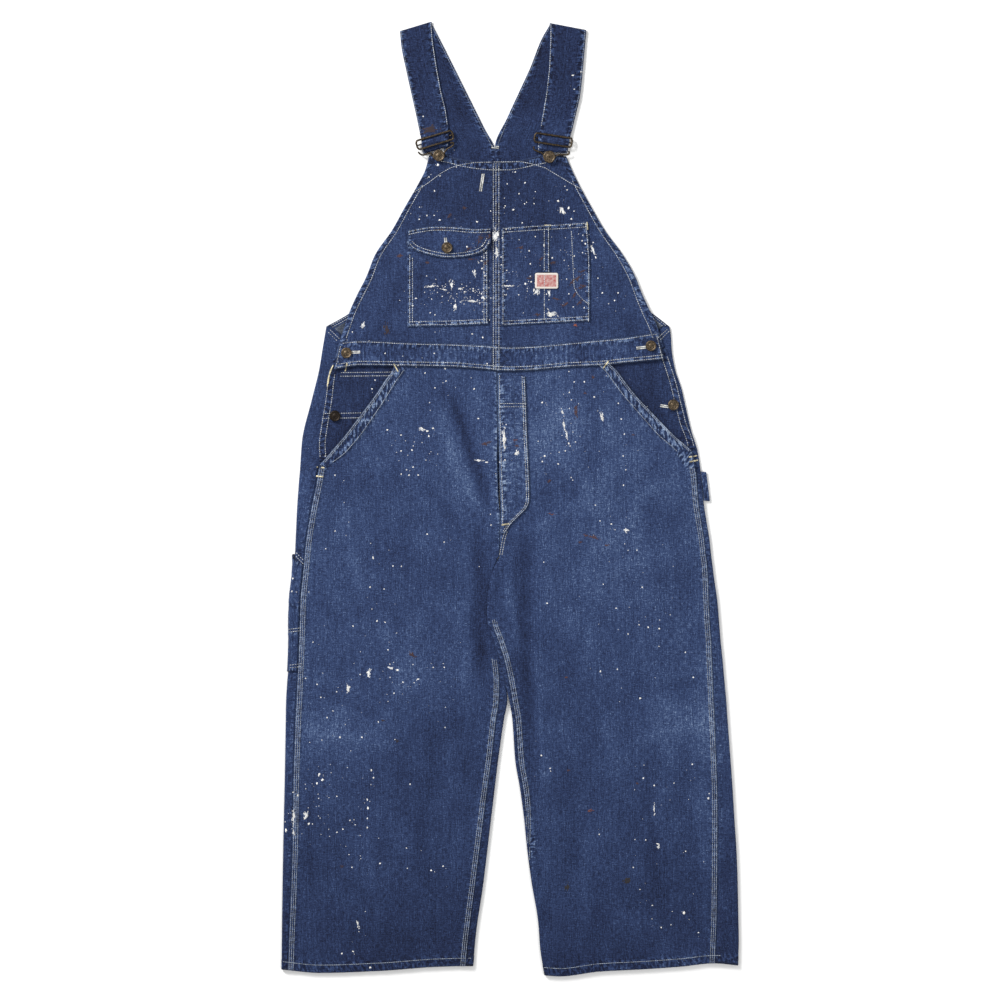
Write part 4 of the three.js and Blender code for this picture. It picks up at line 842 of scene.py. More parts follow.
def back_with_strap(side, strap, shoulder, back):
    columns = np.r_[0, 0.012, np.linspace(0.03, 0.97, 23), 0.988, 1]
    crumple = ripple(31 if side == "left" else 32)
    outer, inner, weave, worn, seam = [], [], [], [], []

    def across(row):
        a, b = np.array(row[:2]), np.array(row[2:4])
        return a + (b - a) * columns[:, None], np.linalg.norm(b - a)

    def add_row(outer_points, inner_points, width, along, wear=0.8):
        into = np.minimum(columns, 1 - columns) * width
        hems = (into, along + 50 * (columns > 0.5), STRAP_HEM, 0, wear, 0.15)
        _, rubbed, directions = sewn_edges(hems)
        outer.append(outer_points)
        inner.append(inner_points)
        weave.append(np.stack([columns * width, np.full_like(columns, along)], -1))
        worn.append(rubbed)
        seam.append(directions)

    outer_x, outer_down, inner_x, inner_down = shoulder
    near_fold = (outer_x, outer_down + SHORT_OF_FOLD, inner_x, inner_down + SHORT_OF_FOLD)
    top_lift = strap[-1][4]
    travel = 0.0
    for row in resample(strap + [(*near_fold, top_lift)], STEP):
        points, width = across(row[:4])
        into = np.minimum(columns, 1 - columns) * width
        uneven = 0.3 * crumple(columns * width / 12, travel / 16) + 0.3 * rise(0, 1.5, into)
        top = row[4] + STRAP_CLOTH + uneven - 0.5 * np.exp(-into / 0.6)
        add_row(np.c_[points, top], np.c_[points, np.full(len(columns), row[4])], width, travel)
        travel += STEP
    radius = (top_lift + STRAP_CLOTH) / 2
    small = radius - STRAP_CLOTH
    for turn in np.linspace(np.pi / 2, -np.pi / 2, SHOULDER_TURNS):
        points, width = across(shoulder)
        out, into = points.copy(), points.copy()
        out[:, 1] += radius - radius * np.cos(turn)
        into[:, 1] += radius - small * np.cos(turn)
        out = np.c_[out, np.full(len(columns), radius + radius * np.sin(turn))]
        into = np.c_[into, np.full(len(columns), radius + small * np.sin(turn))]
        add_row(out, into, width, travel)
        travel += 0.7
    for row in resample([near_fold] + back, STEP):
        points, width = across(row)
        faced = 1 - float(rise(200, 215, row[1]))
        top = CLOTH + (STRAP_CLOTH - CLOTH) * faced + 0.15 * crumple(columns * width / 14, travel / 18)
        add_row(np.c_[points, np.zeros(len(columns))], np.c_[points, top], width, travel, 0.75 * faced)
        travel += STEP
    outer, inner = np.array(outer), np.array(inner)
    from_edge = np.minimum(columns, 1 - columns) * 42
    fade = wash_and_shade(outer[..., 0], outer[..., 1]) + 0.5 * np.exp(-from_edge / 1.3) * (outer[..., 1] < 205)
    maps = np.array(weave), fade, np.array(worn), np.array(seam)
    return wall(f"back_{side}_denim", outer, inner, *maps)


for side, parts, offset in (
    ("left", (LEFT_STRAP, LEFT_SHOULDER, LEFT_BACK), 7.3),
    ("right", (RIGHT_STRAP, RIGHT_SHOULDER, RIGHT_BACK), 8.9),
):
    piece = back_with_strap(side, *parts)
    material = denim(f"denim_back_{side}", offset=offset, light=-0.06)
    finish_cloth(piece, f"back_{side}", material)

# The bib.
# Two halves are felled together down the middle in a seam of three stitched rows. The sides are
# hemmed, and the top edge is faced inside, so that only its stitching shows.
BIB_CENTRE = -26
BIB_SEAM_WIDTH = 12
BIB_SIDE_HEM = 8
BIB_START = 194  # the bib's nominal top
BIB_EDGES = [
    # down, left, right
    (194, -117.5, 81.2), (215, -123, 90), (239, -135, 101.5), (270, -152.5, 118),
    (304, -171, 137), (341, -195.7, 162.4), (375, -209, 180.5), (401, -222, 190),
    (423, -232, 199), (448, -240.8, 210.2), (470, -248, 217), (492, -254, 223),
]
BIB_TOP = [
    # x, down
    (-118, 194.5), (-110, 191), (-103, 189.6), (-96, 190.4), (-90, 193.5), (-72, 199.5),
    (-43, 202.5), (-14, 202.8), (14, 200.8), (29, 197.5), (46, 193.5), (58, 192), (81, 195.5),
]
bib_edge = {"left": curve(BIB_EDGES, 0, 1), "right": curve(BIB_EDGES, 0, 2)}
bib_top = curve(BIB_TOP, 0, 1)
BIB_CREASES = [
    # x, down, length, slant in degrees, half width, height
    (-150, 330, 110, 24, 6, 0.4),
    (-165, 400, 90, 30, 7, -0.4),
    (-70, 222, 60, 60, 6, 0.3),
    (140, 350, 110, -26, 6, 0.4),
    (165, 420, 80, -20, 7, -0.4),
    (60, 225, 60, -50, 6, 0.3),
    (-200, 445, 60, 50, 6, 0.4),
]


def bib(side):
    sign = LEGS[side][0]
    centre = BIB_CENTRE + sign * GAP / 2
    seam_width = BIB_SEAM_WIDTH if side == "right" else 0
    near_seam, near_side = np.linspace(0.008, 0.05, 8), np.linspace(0.96, 0.997, 8)
    share = np.r_[0, 0.002, near_seam, np.linspace(0.062, 0.95, 60), near_side, 1]
    v = np.linspace(0, 1, 88)[:, None]
    a, b = centre, bib_edge[side](BIB_START + (WAIST - BIB_START) * v)
    x = a + (b - a) * share
    top = bib_top(a + (bib_edge[side](BIB_START) - a) * share)
    down = top + (waist_line(x) - GAP - top) * v
    into_side, into_seam, into_top = np.abs(b - x), np.abs(x - a), down - top
    height, worn, seam = sewn_edges(
        (into_side, down, BIB_SIDE_HEM, 0.7, 0.72, 0.25),
        (into_seam, down, seam_width + 0.1, SEAM_RISE if side == "right" else 0, 0.6, 0.0),
        (into_top, x, 11, 0.35, 0.75, 0.1),
    )
    clear = np.minimum(rise(4, 16, into_side), rise(4, 16, into_seam)) * rise(3, 12, into_top)
    pockets_wide = rise(-165, -150, x) * (1 - rise(116, 130, x))
    in_pockets = pockets_wide * rise(285, 300, down) * (1 - rise(440, 455, down))
    clear = clear * (1 - in_pockets) * (1 - rise(450, 465, down))
    crease = creases(x, down, BIB_CREASES) * clear
    under = body_level(x, down)
    rounded = 0.5 * (np.exp(-into_side / 0.5) + np.exp(-into_top / 0.5))
    over = under + CLOTH + height + crease - np.minimum(rounded, 0.7)
    edge_pale = np.exp(-into_side / 1.2) + np.exp(-into_top / 1.5)
    # paler on the creases' ridges and darker in their troughs: painted light and shade that follow the
    # folds; the pale edges are wear
    fade = wash_and_shade(x, down) + 0.24 * crease + 0.45 * np.minimum(edge_pale, 1)
    return panel(f"bib_{side}_denim", x, down, over, under, fade, worn, seam)


for side, offset in (("left", 10.2), ("right", 11.8)):
    piece = bib(side)
    material = denim(f"denim_bib_{side}", offset=offset, light=-0.03)
    finish_cloth(piece, f"bib_{side}", material)

# The bib pockets, the flap and the pencil slot.
# Patches of the same denim, hemmed at the top and turned under and stitched at the other edges.
TURN = 6  # the turned edge of a patch


def front_top(x, down):
    return body_level(x, down) + CLOTH


CLOSE = np.array([0, 0.4, 1.2, 2.4, 3.8, 5.2, 6.4, 7.4])  # rows near a patch's edge
SMALL = 18  # a patch narrower than this has evenly spread rows


def patch_rows(size, step):
    """Shares of a patch's size at which its rows lie, closer together near the edges."""
    if size <= SMALL:
        return np.linspace(0, 1, 13)
    reach = CLOSE[-1]
    inner = np.linspace(reach / size, 1 - reach / size, max(3, round((size - 2 * reach) / step)))[1:-1]
    near = CLOSE[CLOSE < size * 0.45] / size
    return np.r_[near, inner, 1 - near[::-1]]


def patch(name, left, right, top, bottom, under, turn=TURN, step=2.4, seed=1, thickness=CLOTH):
    """A stitched patch between two edges, left and right by share of height, and two ends."""
    tall = float(np.max(bottom(left(0.5)) - top(left(0.5))))
    wide = float(right(0.5) - left(0.5))
    v, u = patch_rows(tall, step)[:, None], patch_rows(wide, step)[None, :]
    x = left(v) + (right(v) - left(v)) * u
    down = top(x) + (bottom(x) - top(x)) * v
    into_side = np.minimum(x - left(v), right(v) - x)
    into_end = np.minimum(down - top(x), bottom(x) - down)
    height, worn, seam = sewn_edges(
        (into_side, down + 7 * seed, turn, 0.6, 0.75, 0.2),
        (into_end, x + 5 * seed, turn, 0.6, 0.85, 0.3),
    )
    loose = rise(turn, turn + 10, into_side) * rise(turn, turn + 10, into_end)
    puff = 0.5 * swell(x / 26 + seed, down / 30) + 0.25 * swell(x / 10 + seed, down / 12)
    rounded = 0.45 * (np.exp(-into_side / 0.5) + np.exp(-into_end / 0.5))
    below = under(x, down)
    over = below + thickness + height + (0.4 + puff) * loose - np.minimum(rounded, 0.6)
    edge_pale = np.exp(-into_side / 1.2) + np.exp(-into_end / 1.2)
    fade = wash_and_shade(x, down) + 0.25 * puff * loose + 0.4 * np.minimum(edge_pale, 1)
    return panel(name, x, down, over, below, fade, worn, seam)


LEFT_POCKET_BOTTOM = [(-150, 443), (-90, 442), (-30, 439)]
LEFT_POCKET_TOP = 318
HEMMED = 0.7  # what a patch's turned edge adds to its height
left_pocket_bottom = curve(LEFT_POCKET_BOTTOM, 0, 1)


def pocket_under(x, down):
    return front_top(x, down) + LAY


piece = patch(
    "bib_pocket_left_denim", lambda v: -149.5 + v, lambda v: -32 + 0.6 * v,
    lambda x: LEFT_POCKET_TOP + 0 * x, left_pocket_bottom, pocket_under, seed=4,
)
material = denim("denim_pocket_left", offset=13.3)
finish_cloth(piece, "bib_pocket_left", material)

FLAP_TOP = [(-149, 303), (-130, 299), (-109, 296.5), (-87, 297), (-50, 300), (-28, 299)]
FLAP_POINT = [
    # x, down
    (-149, 322), (-145, 328), (-137, 333), (-124, 337.5), (-109, 341), (-91, 343.5),
    (-72, 342.5), (-50, 339), (-38, 333.5), (-31, 326), (-27, 316),
]
flap_top, flap_point = curve(FLAP_TOP, 0, 1), curve(FLAP_POINT, 0, 1)


def flap_under(x, down):
    over_pocket = rise(LEFT_POCKET_TOP - 12, LEFT_POCKET_TOP - 1, down)
    return front_top(x, down) + LAY + (CLOTH + HEMMED + 0.6) * over_pocket


piece = patch(
    "pocket_flap_denim", lambda v: -148 + 0 * v, lambda v: -28 + 0 * v, flap_top, flap_point,
    flap_under, turn=5, seed=23,
)
material = denim("denim_flap", offset=14.9)
finish_cloth(piece, "pocket_flap", material)

RIGHT_POCKET_TOP = [(-14, 298.5), (29, 295.5), (72, 293), (110, 290.5)]
RIGHT_POCKET_EDGE = [(0, 111), (0.2, 114.5), (0.5, 116), (1, 115.5)]  # share of its height, x
RIGHT_POCKET_BOTTOM = [(-14, 441.5), (43, 438.5), (80, 436.5), (115, 434.5)]
right_pocket_top, right_pocket_edge = curve(RIGHT_POCKET_TOP, 0, 1), curve(RIGHT_POCKET_EDGE, 0, 1)
right_pocket_bottom = curve(RIGHT_POCKET_BOTTOM, 0, 1)
piece = patch(
    "bib_pocket_right_denim", lambda v: -12.6 + 0 * v, right_pocket_edge, right_pocket_top,
    right_pocket_bottom, pocket_under, seed=37,
)
material = denim("denim_pocket_right", offset=16.1)
finish_cloth(piece, "bib_pocket_right", material)


def on_pocket(x, down):
    return pocket_under(x, down) + CLOTH + HEMMED + 0.5


piece = patch(
    "pencil_slot_denim", lambda v: 47.5 + 0 * v, lambda v: 57 + 0 * v,
    lambda x: right_pocket_top(x) + 2, lambda x: 364 + 0 * x, on_pocket,
    turn=3, step=1.5, seed=51, thickness=0.9,
)
material = denim("denim_pencil", offset=17.7)
finish_cloth(piece, "pencil_slot", material)

# The waistband.
# A straight band of doubled denim over the seam of bib and legs, stitched once along its top and
# twice along its bottom.
share = np.r_[0, 0.03, 0.07, np.linspace(0.11, 0.89, 14), 0.93, 0.97, 1][:, None]
along = np.linspace(0, 1, 190)[None, :]
left, right = -247 - 8 * share, 214 + 9 * share
x = left + (right - left) * along
tall = band_bottom(x) - band_top(x)
down = band_top(x) + tall * share
into_edge = np.minimum(share, 1 - share) * tall
into_end = np.minimum(x - left, right - x)
into_centre = x - BIB_CENTRE
height, worn, seam = sewn_edges(
    (into_edge, x, 8.5, 0.6, 0.62, 0.1),
    (into_end, down, 6, 0.6, 0.6, 0.0),
    (np.where(into_centre < 0, 99, into_centre), down, BIB_SEAM_WIDTH, 0.9, 0.7, 0.0),
)
worn = np.maximum(worn, 0.26)
rounded = 0.6 * (np.exp(-into_edge / 0.6) + np.exp(-into_end / 0.6))
band_wave = 0.13 * swell(x / 17, down / 14) + 0.16 * swell(x / 4.2 + 30, down / 26)
band_under = front_top(x, down) + LAY + SEAM_RISE * 0.6
band_over = band_under + CLOTH + 0.4 + height + band_wave - np.minimum(rounded, 0.8)
band_fade = wash_and_shade(x, down) + band_wave + 0.3 * np.exp(-into_edge / 1.2) - 0.05
piece = panel("waistband_denim", x, down, band_over, band_under, band_fade, worn, seam)
material, legs = denim("denim_waistband", offset=19.1), ["front_leg_left", "front_leg_right"]
finish_cloth(piece, "waistband", material)

# The open corners beside the bib.
# The back's side opening gapes a little there, so that the pale inner face of the denim shows
# between the back's hem and the opening's.
INNER_TONES = [
    # place on the scale from unworn to bare weft, colour
    (0.0, (0.014, 0.017, 0.026)),
    (0.34, (0.040, 0.048, 0.068)),
    (0.60, (0.085, 0.100, 0.135)),
    (0.80, (0.150, 0.175, 0.220)),
    (1.0, (0.30, 0.33, 0.38)),
]
CORNER_LEVEL = 1.65  # where the inner face lies, just over the back
CORNERS = [
    # side, tip, upper end and lower end of what shows as x and down, flat size and area in metres
    ("left", (-255, 445), (-232, 432), (-239, 459), (0.023, 0.029), 0.00027),
    ("right", (221.5, 441), (203, 429.5), (206, 452), (0.0185, 0.0225), 0.00019),
]
for side, tip, upper, lower, flat, area in CORNERS:
    tip, upper, lower = np.array(tip), np.array(upper), np.array(lower)
    v = np.linspace(0, 1, 15)[:, None, None]
    share = np.linspace(0.04, 1, 15)[:, None]
    place = tip + share * ((upper - tip) * (1 - v) + (lower - tip) * v)
    x, down = place[..., 0], place[..., 1]
    over = CORNER_LEVEL + 0.7 + 0.12 * swell(x / 9, down / 9)
    inner_face = np.stack([x, down, CORNER_LEVEL + 0 * x], -1)
    # darker towards the bib: painted shade that the bib casts on the inner face
    fade = 0.2 * swell(x / 7, down / 8) - 0.3 * share[:, 0]
    piece = wall(f"inner_corner_{side}_denim", np.stack([x, down, over], -1), inner_face, place, fade)
    material = denim(f"denim_inner_{side}", turn=30, offset=20.2, tones=INNER_TONES)
    finish_cloth(piece, None, material)

# The hip panels.
# The pocket's under side, which shows in the slant cut, with the hem of the side opening.
HIP_OVERLAP = 17  # how far the hip panel goes in under the front leg
LEFT_HIP = [(490, -256), (512.6, -264.5), (549, -269), (585, -275), (614, -278.6), (637, -277)]
RIGHT_HIP = [
    (490, 225), (508, 232.5), (534, 243.5), (563, 251.8), (585, 257.5), (602, 264.5), (620, 269.5),
]
for side, rows, end, offset in (("left", LEFT_HIP, 637, 21.3), ("right", RIGHT_HIP, 620, 22.9)):
    sign = LEGS[side][0]
    v = stations([WAIST, end], 3)[:, None]
    share = np.r_[0, 0.01, np.linspace(0.03, 1, 30)]
    a = curve(rows, 0, 1)(v)
    b = slant[side](v) - sign * HIP_OVERLAP
    x = a + (b - a) * share
    down = settle(x, v)
    into = np.abs(x - a)
    height, worn, seam = sewn_edges((into, v, 11, 0.25, 0.55, 0.1))
    over = HIP_PANEL_LEVEL + CLOTH + height - 0.4 * np.exp(-into / 0.6) + 0.1 * swell(x / 20, down / 24)
    over = np.minimum(over, HIP_PANEL_LEVEL + CLOTH + 0.32)
    from_opening = np.abs(slant[side](v) - x)
    shade = wash_and_shade(x, down) - 0.24 - 0.3 * np.exp(-from_opening / 14) + 0.4 * np.exp(-into / 1.4)
    piece = panel(f"hip_panel_{side}_denim", x, down, over, HIP_PANEL_LEVEL, shade, worn, seam)
    material = denim(f"denim_hip_{side}", offset=offset, light=-0.05)
    finish_cloth(piece, f"hip_panel_{side}", material)

# The fly placket.
# A strip on the right front, stitched in a curve that turns back to the fly above the crotch.
FLY_EDGE = [(512, 22), (600, 25), (694, 28.5), (704, 25), (716, 14), (728, 2), (742, -7)]
fly_edge = curve(FLY_EDGE, 0, 1)
v = np.r_[stations([512, 694], 3), stations([694, 742], 1.6)[1:]][:, None]
share = np.r_[0, 0.02, np.linspace(0.06, 0.94, 16), 0.98, 1]
a = fly_seam(v) + 1.4
b = fly_edge(v)
x = a + (b - a) * share
down = settle(0 * x, v)
into_fly, into_edge = x - a, b - x
height, worn, seam = sewn_edges(
    (into_edge, v, 6, 0.3, 0.65, 0.1),
    (into_fly, v, 9, 0.35, 0.65, 0.15),
)
rough = 0.35 * swell(x / 9, down / 13) + 0.2 * swell(x / 4, down / 5)
fly_lift = 0.9 * rise(575, 640, v) * (1 - rise(690, 722, v)) * np.exp(-into_fly / 9)
under = leg_level(1, x, down) + CLOTH + LAY + fly_lift + 0.3
over = under + CLOTH + height + rough * rise(0, 5, into_fly) * rise(0, 5, into_edge)
over = over - 0.5 * np.exp(-np.minimum(into_fly, into_edge) / 0.6)
worn = np.maximum(worn, 0.22)
edges_pale = 0.6 * np.exp(-into_fly / 1.6) + 0.3 * np.exp(-into_edge / 1.4)
placket_fade = wash_and_shade(x, down) + 0.08 + 0.22 * rough + edges_pale
piece = panel("fly_placket_denim", x, down, over, under, placket_fade, worn, seam)
material = denim("denim_fly", offset=24.1)
finish_cloth(piece, "fly_placket", material)

# The rule pocket and the hammer loop.
# The pocket's edge shows where it turns round the left leg's fold. The loop is a doubled strip
# that stands out at the right leg's edge.
MOUTH_LIP, MOUTH_DEPTH = 2.6, 13  # how far the pocket's mouth stands off, and to what depth
POCKET_RUN = 160  # the length of the pocket's edge that shows
POCKET_ROWS = [2, 66, 104, 158]  # its stitched rows, by their distance from the mouth
rows, fine = np.linspace(0, 1, 70), np.linspace(0, 1, 6)
turn = np.linspace(np.pi / 2, -np.pi * 0.18, 9)
columns = len(fine) + len(turn)
outer, inner, weave, worn = [], [], [], []
for v in rows:
    section_out, section_in = [], []
    for k in range(columns):
        start = 772 + 14 * (1 - k / (columns - 1))
        place = start + (942 - start) * v
        radius = (float(flap_level("left", place)) + CLOTH) / 2
        middle = float(edge["left"]["outer"](place)) + radius
        lip = MOUTH_LIP * math.exp(-POCKET_RUN * v / MOUTH_DEPTH) * min(1, k / len(fine))
        low = 2 * LAY
        high = low + 1.2 + lip + 0.25 * float(knots(place / 6, k / 3))
        for section, off in ((section_out, high), (section_in, low)):
            if k < len(fine):
                end = float(edge["left"]["side"](place)) - 1
                x, z = end + (middle - end) * fine[k] * 0.98, 2 * radius + off
            else:
                a = turn[k - len(fine)]
                x, z = middle - (radius + off) * math.cos(a), radius + (radius + off) * math.sin(a)
            section.append((x, place, z))
    outer.append(section_out)
    inner.append(section_in)
    weave.append([(k * 2.2, v * POCKET_RUN) for k in range(columns)])
    from_rows = v * POCKET_RUN - np.array(POCKET_ROWS)
    worn.append([float(np.exp(-(from_rows / 3.0) ** 2).max()) * 0.7 + 0.2] * columns)
outer, inner = np.array(outer), np.array(inner)
outer[..., 2] = np.maximum(outer[..., 2], 0.05)
# painted shadow inside the pocket's mouth, on its first row
mouth_shadow = 0.9 * (rows[:, None] == 0)
fade = wash_and_shade(outer[..., 0], outer[..., 1]) - mouth_shadow
piece = wall("rule_pocket_denim", outer, inner, np.array(weave), fade, np.array(worn))
material = denim("denim_rule_pocket", offset=26.3)
finish_cloth(piece, "rule_pocket", material)

LOOP_TOP, LOOP_END = 653, 695
v = np.linspace(LOOP_TOP, LOOP_END, 20)[:, None]
share = np.linspace(0, 1, 9)
a = edge["right"]["outer"](v) + LAY
b = 284.2 + (v - LOOP_TOP) / (LOOP_END - LOOP_TOP) * 5.2
x = a + (b - a) * share
into = np.minimum(x - a, b - x)
under = 1.2 + 0.3 * np.exp(-into / 0.6)
over = 3.2 - 0.5 * np.exp(-into / 0.8) + 0.2 * knots(v / 6, x / 4)
fade = wash_and_shade(x, v) - 0.1 + 0.5 * np.exp(-into / 1.2)
piece = panel("hammer_loop_denim", x, v, over, under, fade, 0.4)
material = denim("denim_loop", offset=27.9)
finish_cloth(piece, "hammer_loop", material)

# The label.
# A plain cream label with rounded corners and one plain red field that has rubbed thin.
LABEL_RIGHT, LABEL_BOTTOM, LABEL_CORNER = 69.5, 387.6, 0.12
v = np.linspace(0, 1, 31)[:, None]
share = np.linspace(0, 1, 41)[None, :]
wide, tall = LABEL_RIGHT - LABEL_LEFT, LABEL_BOTTOM - LABEL_TOP
past = np.maximum(0, np.abs(v - 0.5) - 0.5 + LABEL_CORNER) / LABEL_CORNER
inset = LABEL_CORNER * tall * (1 - np.sqrt(1 - past * past * 0.96))
x = LABEL_LEFT + inset + (wide - 2 * inset) * share
down = LABEL_TOP + tall * v + 0 * x
into = np.minimum(np.minimum(share, 1 - share) * wide, np.minimum(v, 1 - v) * tall)
under = on_pocket(x, down)
over = under + 0.8 + 0.12 * knots(x / 3, down / 3) - 0.3 * np.exp(-into / 0.5)
label = wall(
    "pocket_label_cloth", np.stack([x, down, over], -1), np.stack([x, down, under], -1),
    np.stack([x - LABEL_LEFT, down - LABEL_TOP], -1), 0.0, np.clip(1 - into / 3, 0, 1),
)
label_cloth, tree, shader = new_material("label_cloth", {"Roughness": 0.85})
uv = add(tree, "ShaderNodeUVMap", uv_map="weave").outputs["UV"]
split = add(tree, "ShaderNodeSeparateXYZ", {"Vector": uv})
FIELD_MARGIN = 2.2  # the bare edge round the printed field


def within(socket, size):
    """1 on the printed field of a label of some size, easing to 0 past its edges."""
    away = maths(tree, "ABSOLUTE", maths(tree, "SUBTRACT", socket, size / 2 / 1000))
    half = size / 2 - FIELD_MARGIN
    ease = {"Value": away, "From Min": half / 1000, "From Max": (half - 1) / 1000}
    return add(tree, "ShaderNodeMapRange", ease).outputs["Result"]


field = maths(tree, "MULTIPLY", within(split.outputs["X"], wide), within(split.outputs["Y"], tall), True)
rub = add(tree, "ShaderNodeTexNoise", {"Vector": uv, "Scale": 300, "Detail": 5}).outputs["Fac"]
field_left = maths(tree, "MULTIPLY", maths(tree, "MULTIPLY", field, rub, True), 1.45, True)
colours = {"Factor": field_left, "A": (0.60, 0.55, 0.50, 1), "B": (0.32, 0.06, 0.06, 1)}
tint = add(tree, "ShaderNodeMix", None, data_type="RGBA")
feed(tree, shader, {"Base Color": feed(tree, tint, colours).outputs["Result"]})
label.data.materials.append(label_cloth)
declare(label, "pocket_label")

# The buttons.
# Antique bronze shank buttons with a rolled rim and a plain wreath of small ribs.
RUN = 0.3  # between a button and the cloth under it
BUTTON_SIDES = 48
STEM = 2.4  # the radius of a button's shank
WREATH = (11, 12)  # the points of the profile that carry its ribs
RIBS, RIB_HEIGHT = 12, 0.22


def speckle(tree, scale, detail=2):
    """Fine noise that is fixed to the garment."""
    where = add(tree, "ShaderNodeTexCoord").outputs["Object"]
    sockets = {"Vector": where, "Scale": scale, "Detail": detail}
    return add(tree, "ShaderNodeTexNoise", sockets).outputs["Fac"]


def bronze(name, hollow, rubbed):
    """Oxidised bronze: dark in the hollows, browner where it has rubbed."""
    material, tree, shader = new_material(name, {"Metallic": 0.8, "Roughness": 0.45})
    patina = speckle(tree, 620, 5)
    colour = ramp(tree, patina, [(0.36, hollow), (0.72, rubbed)])
    feed(tree, shader, {"Base Color": colour, "Normal": bump(tree, patina, 0.35, 0.0002)})
    return material


aged_bronze = bronze("aged_bronze", (0.020, 0.016, 0.011), (0.20, 0.145, 0.09))
dark_bronze = bronze("dark_bronze", (0.008, 0.006, 0.005), (0.035, 0.024, 0.016))
wire_bronze = bronze("wire_bronze", (0.014, 0.012, 0.009), (0.115, 0.082, 0.05))


def button(node, x, down, surface, diameter, shank, metal=aged_bronze):
    r = diameter / 2
    profile = [
        # radius, height
        (0, 0), (STEM, 0), (STEM, shank), (r - 1.4, shank), (r - 0.5, shank + 0.25), (r, shank + 0.9),
        (r - 0.15, shank + 1.6), (r - 0.7, shank + 2.1), (r - 1.3, shank + 2.2), (r - 1.8, shank + 1.9),
        (r - 2.1, shank + 1.5), (r - 2.9, shank + 1.55), (r - 3.7, shank + 1.6), (r - 4.1, shank + 1.45),
        (r - 4.5, shank + 1.75), (1.2, shank + 2.05), (0, shank + 2.1),
    ]
    points, faces = [], []
    for index, (radius, height) in enumerate(profile):
        for k in range(BUTTON_SIDES):
            a = 2 * math.pi * k / BUTTON_SIDES
            ribs = RIB_HEIGHT * math.cos(RIBS * a) if index in WREATH else 0
            points.append((x + radius * math.cos(a), down + radius * math.sin(a), surface + height + ribs))
    for index in range(len(profile) - 1):
        for k in range(BUTTON_SIDES):
            n = (k + 1) % BUTTON_SIDES
            a, b = index * BUTTON_SIDES, (index + 1) * BUTTON_SIDES
            faces.append((a + k, a + n, b + n, b + k))
    mesh = bpy.data.meshes.new(f"{node}_bronze")
    mesh.from_pydata([tuple(p) for p in in_frame(points)], [], faces)
    body = bmesh.new()
    body.from_mesh(mesh)
    bmesh.ops.remove_doubles(body, verts=body.verts, dist=1e-6)
    bmesh.ops.recalc_face_normals(body, faces=body.faces)
    body.to_mesh(mesh)
    body.free()
    mesh.shade_smooth()
    mesh.materials.append(metal)
    declare(place_object(f"{node}_bronze", mesh), node)


def over_waistband(x, down):
    return float(front_top(x, down)) + LAY + SEAM_RISE * 0.6 + CLOTH + 0.4 + RUN


hip_top = HIP_PANEL_LEVEL + CLOTH + RUN
over_facing = float(body_level(-103, 195)) + CLOTH + 0.7 + RUN
over_bib = float(body_level(56, 197)) + CLOTH + RUN
over_flap = float(flap_under(-91.4, 328.4)) + CLOTH + 0.6 + RUN
BUTTONS = [
    # node, x, down, surface, diameter, shank, and its own metal where it differs
    ("button_bib_left", -103.2, 194.9, over_facing, 16.8, 4),
    ("button_bib_right", 56.6, 196.8, over_bib, 17.6, 4.4),
    ("button_waist_left", -237, 480.7, over_waistband(-237, 480.7), 15.6, 1.2),
    ("button_waist_right", 203.7, 470.5, over_waistband(203.7, 470.5), 15.6, 1.2),
    ("button_side_left", -253.8, 572, hip_top, 16, 1.2, dark_bronze),
    ("button_side_right", 236.4, 556, hip_top, 16, 1.2),
    ("button_flap", -91.4, 328.4, over_flap, 16, 1.2),
]
for entry in BUTTONS:
    button(*entry)

# The buckles.
# Bent bronze wire: a slide with a centre bar that the strap runs through, and a hook that comes
# out of the strap's end, goes round the bib button and ends in a small eye.
WIRE = 2.9  # the thickness of the bent wire
SLIDE = {"half": 27.2, "reach": 6.6, "corner": 5, "bars": 6.5, "centre_bar": 3.2, "centre_wire": 2}
HOOK_Z = 5.7  # the height at which a hook's wire runs


def mesh_of(holder):
    """The finished mesh of a helper object."""
    return bpy.data.meshes.new_from_object(holder.evaluated_get(bpy.context.evaluated_depsgraph_get()))


def wire(name, points, diameter, closed):
    """A round wire along a smooth line of points, as a mesh."""
    data = bpy.data.curves.new(name, "CURVE")
    data.dimensions = "3D"
    data.bevel_depth = diameter / 2000
    data.bevel_resolution = 4
    data.use_fill_caps = True
    data.resolution_u = 8
    spline = data.splines.new("NURBS")
    spline.points.add(len(points) - 1)
    for point, place in zip(spline.points, in_frame(points)):
        point.co = (*place, 1)
    spline.order_u = 3
    spline.use_cyclic_u = closed
    spline.use_endpoint_u = not closed
    holder = place_object(f"{name}_line", data)
    mesh = mesh_of(holder)
    bpy.data.objects.remove(holder)
    return mesh


def hardware(node, wires):
    """Joins wires into the piece that stands for a node."""
    body = bmesh.new()
    for mesh in wires:
        body.from_mesh(mesh)
    bmesh.ops.recalc_face_normals(body, faces=body.faces)
    joined = bpy.data.meshes.new(f"{node}_bronze")
    body.to_mesh(joined)
    body.free()
    joined.shade_smooth()
    joined.materials.append(wire_bronze)
    declare(place_object(f"{node}_bronze", joined), node)


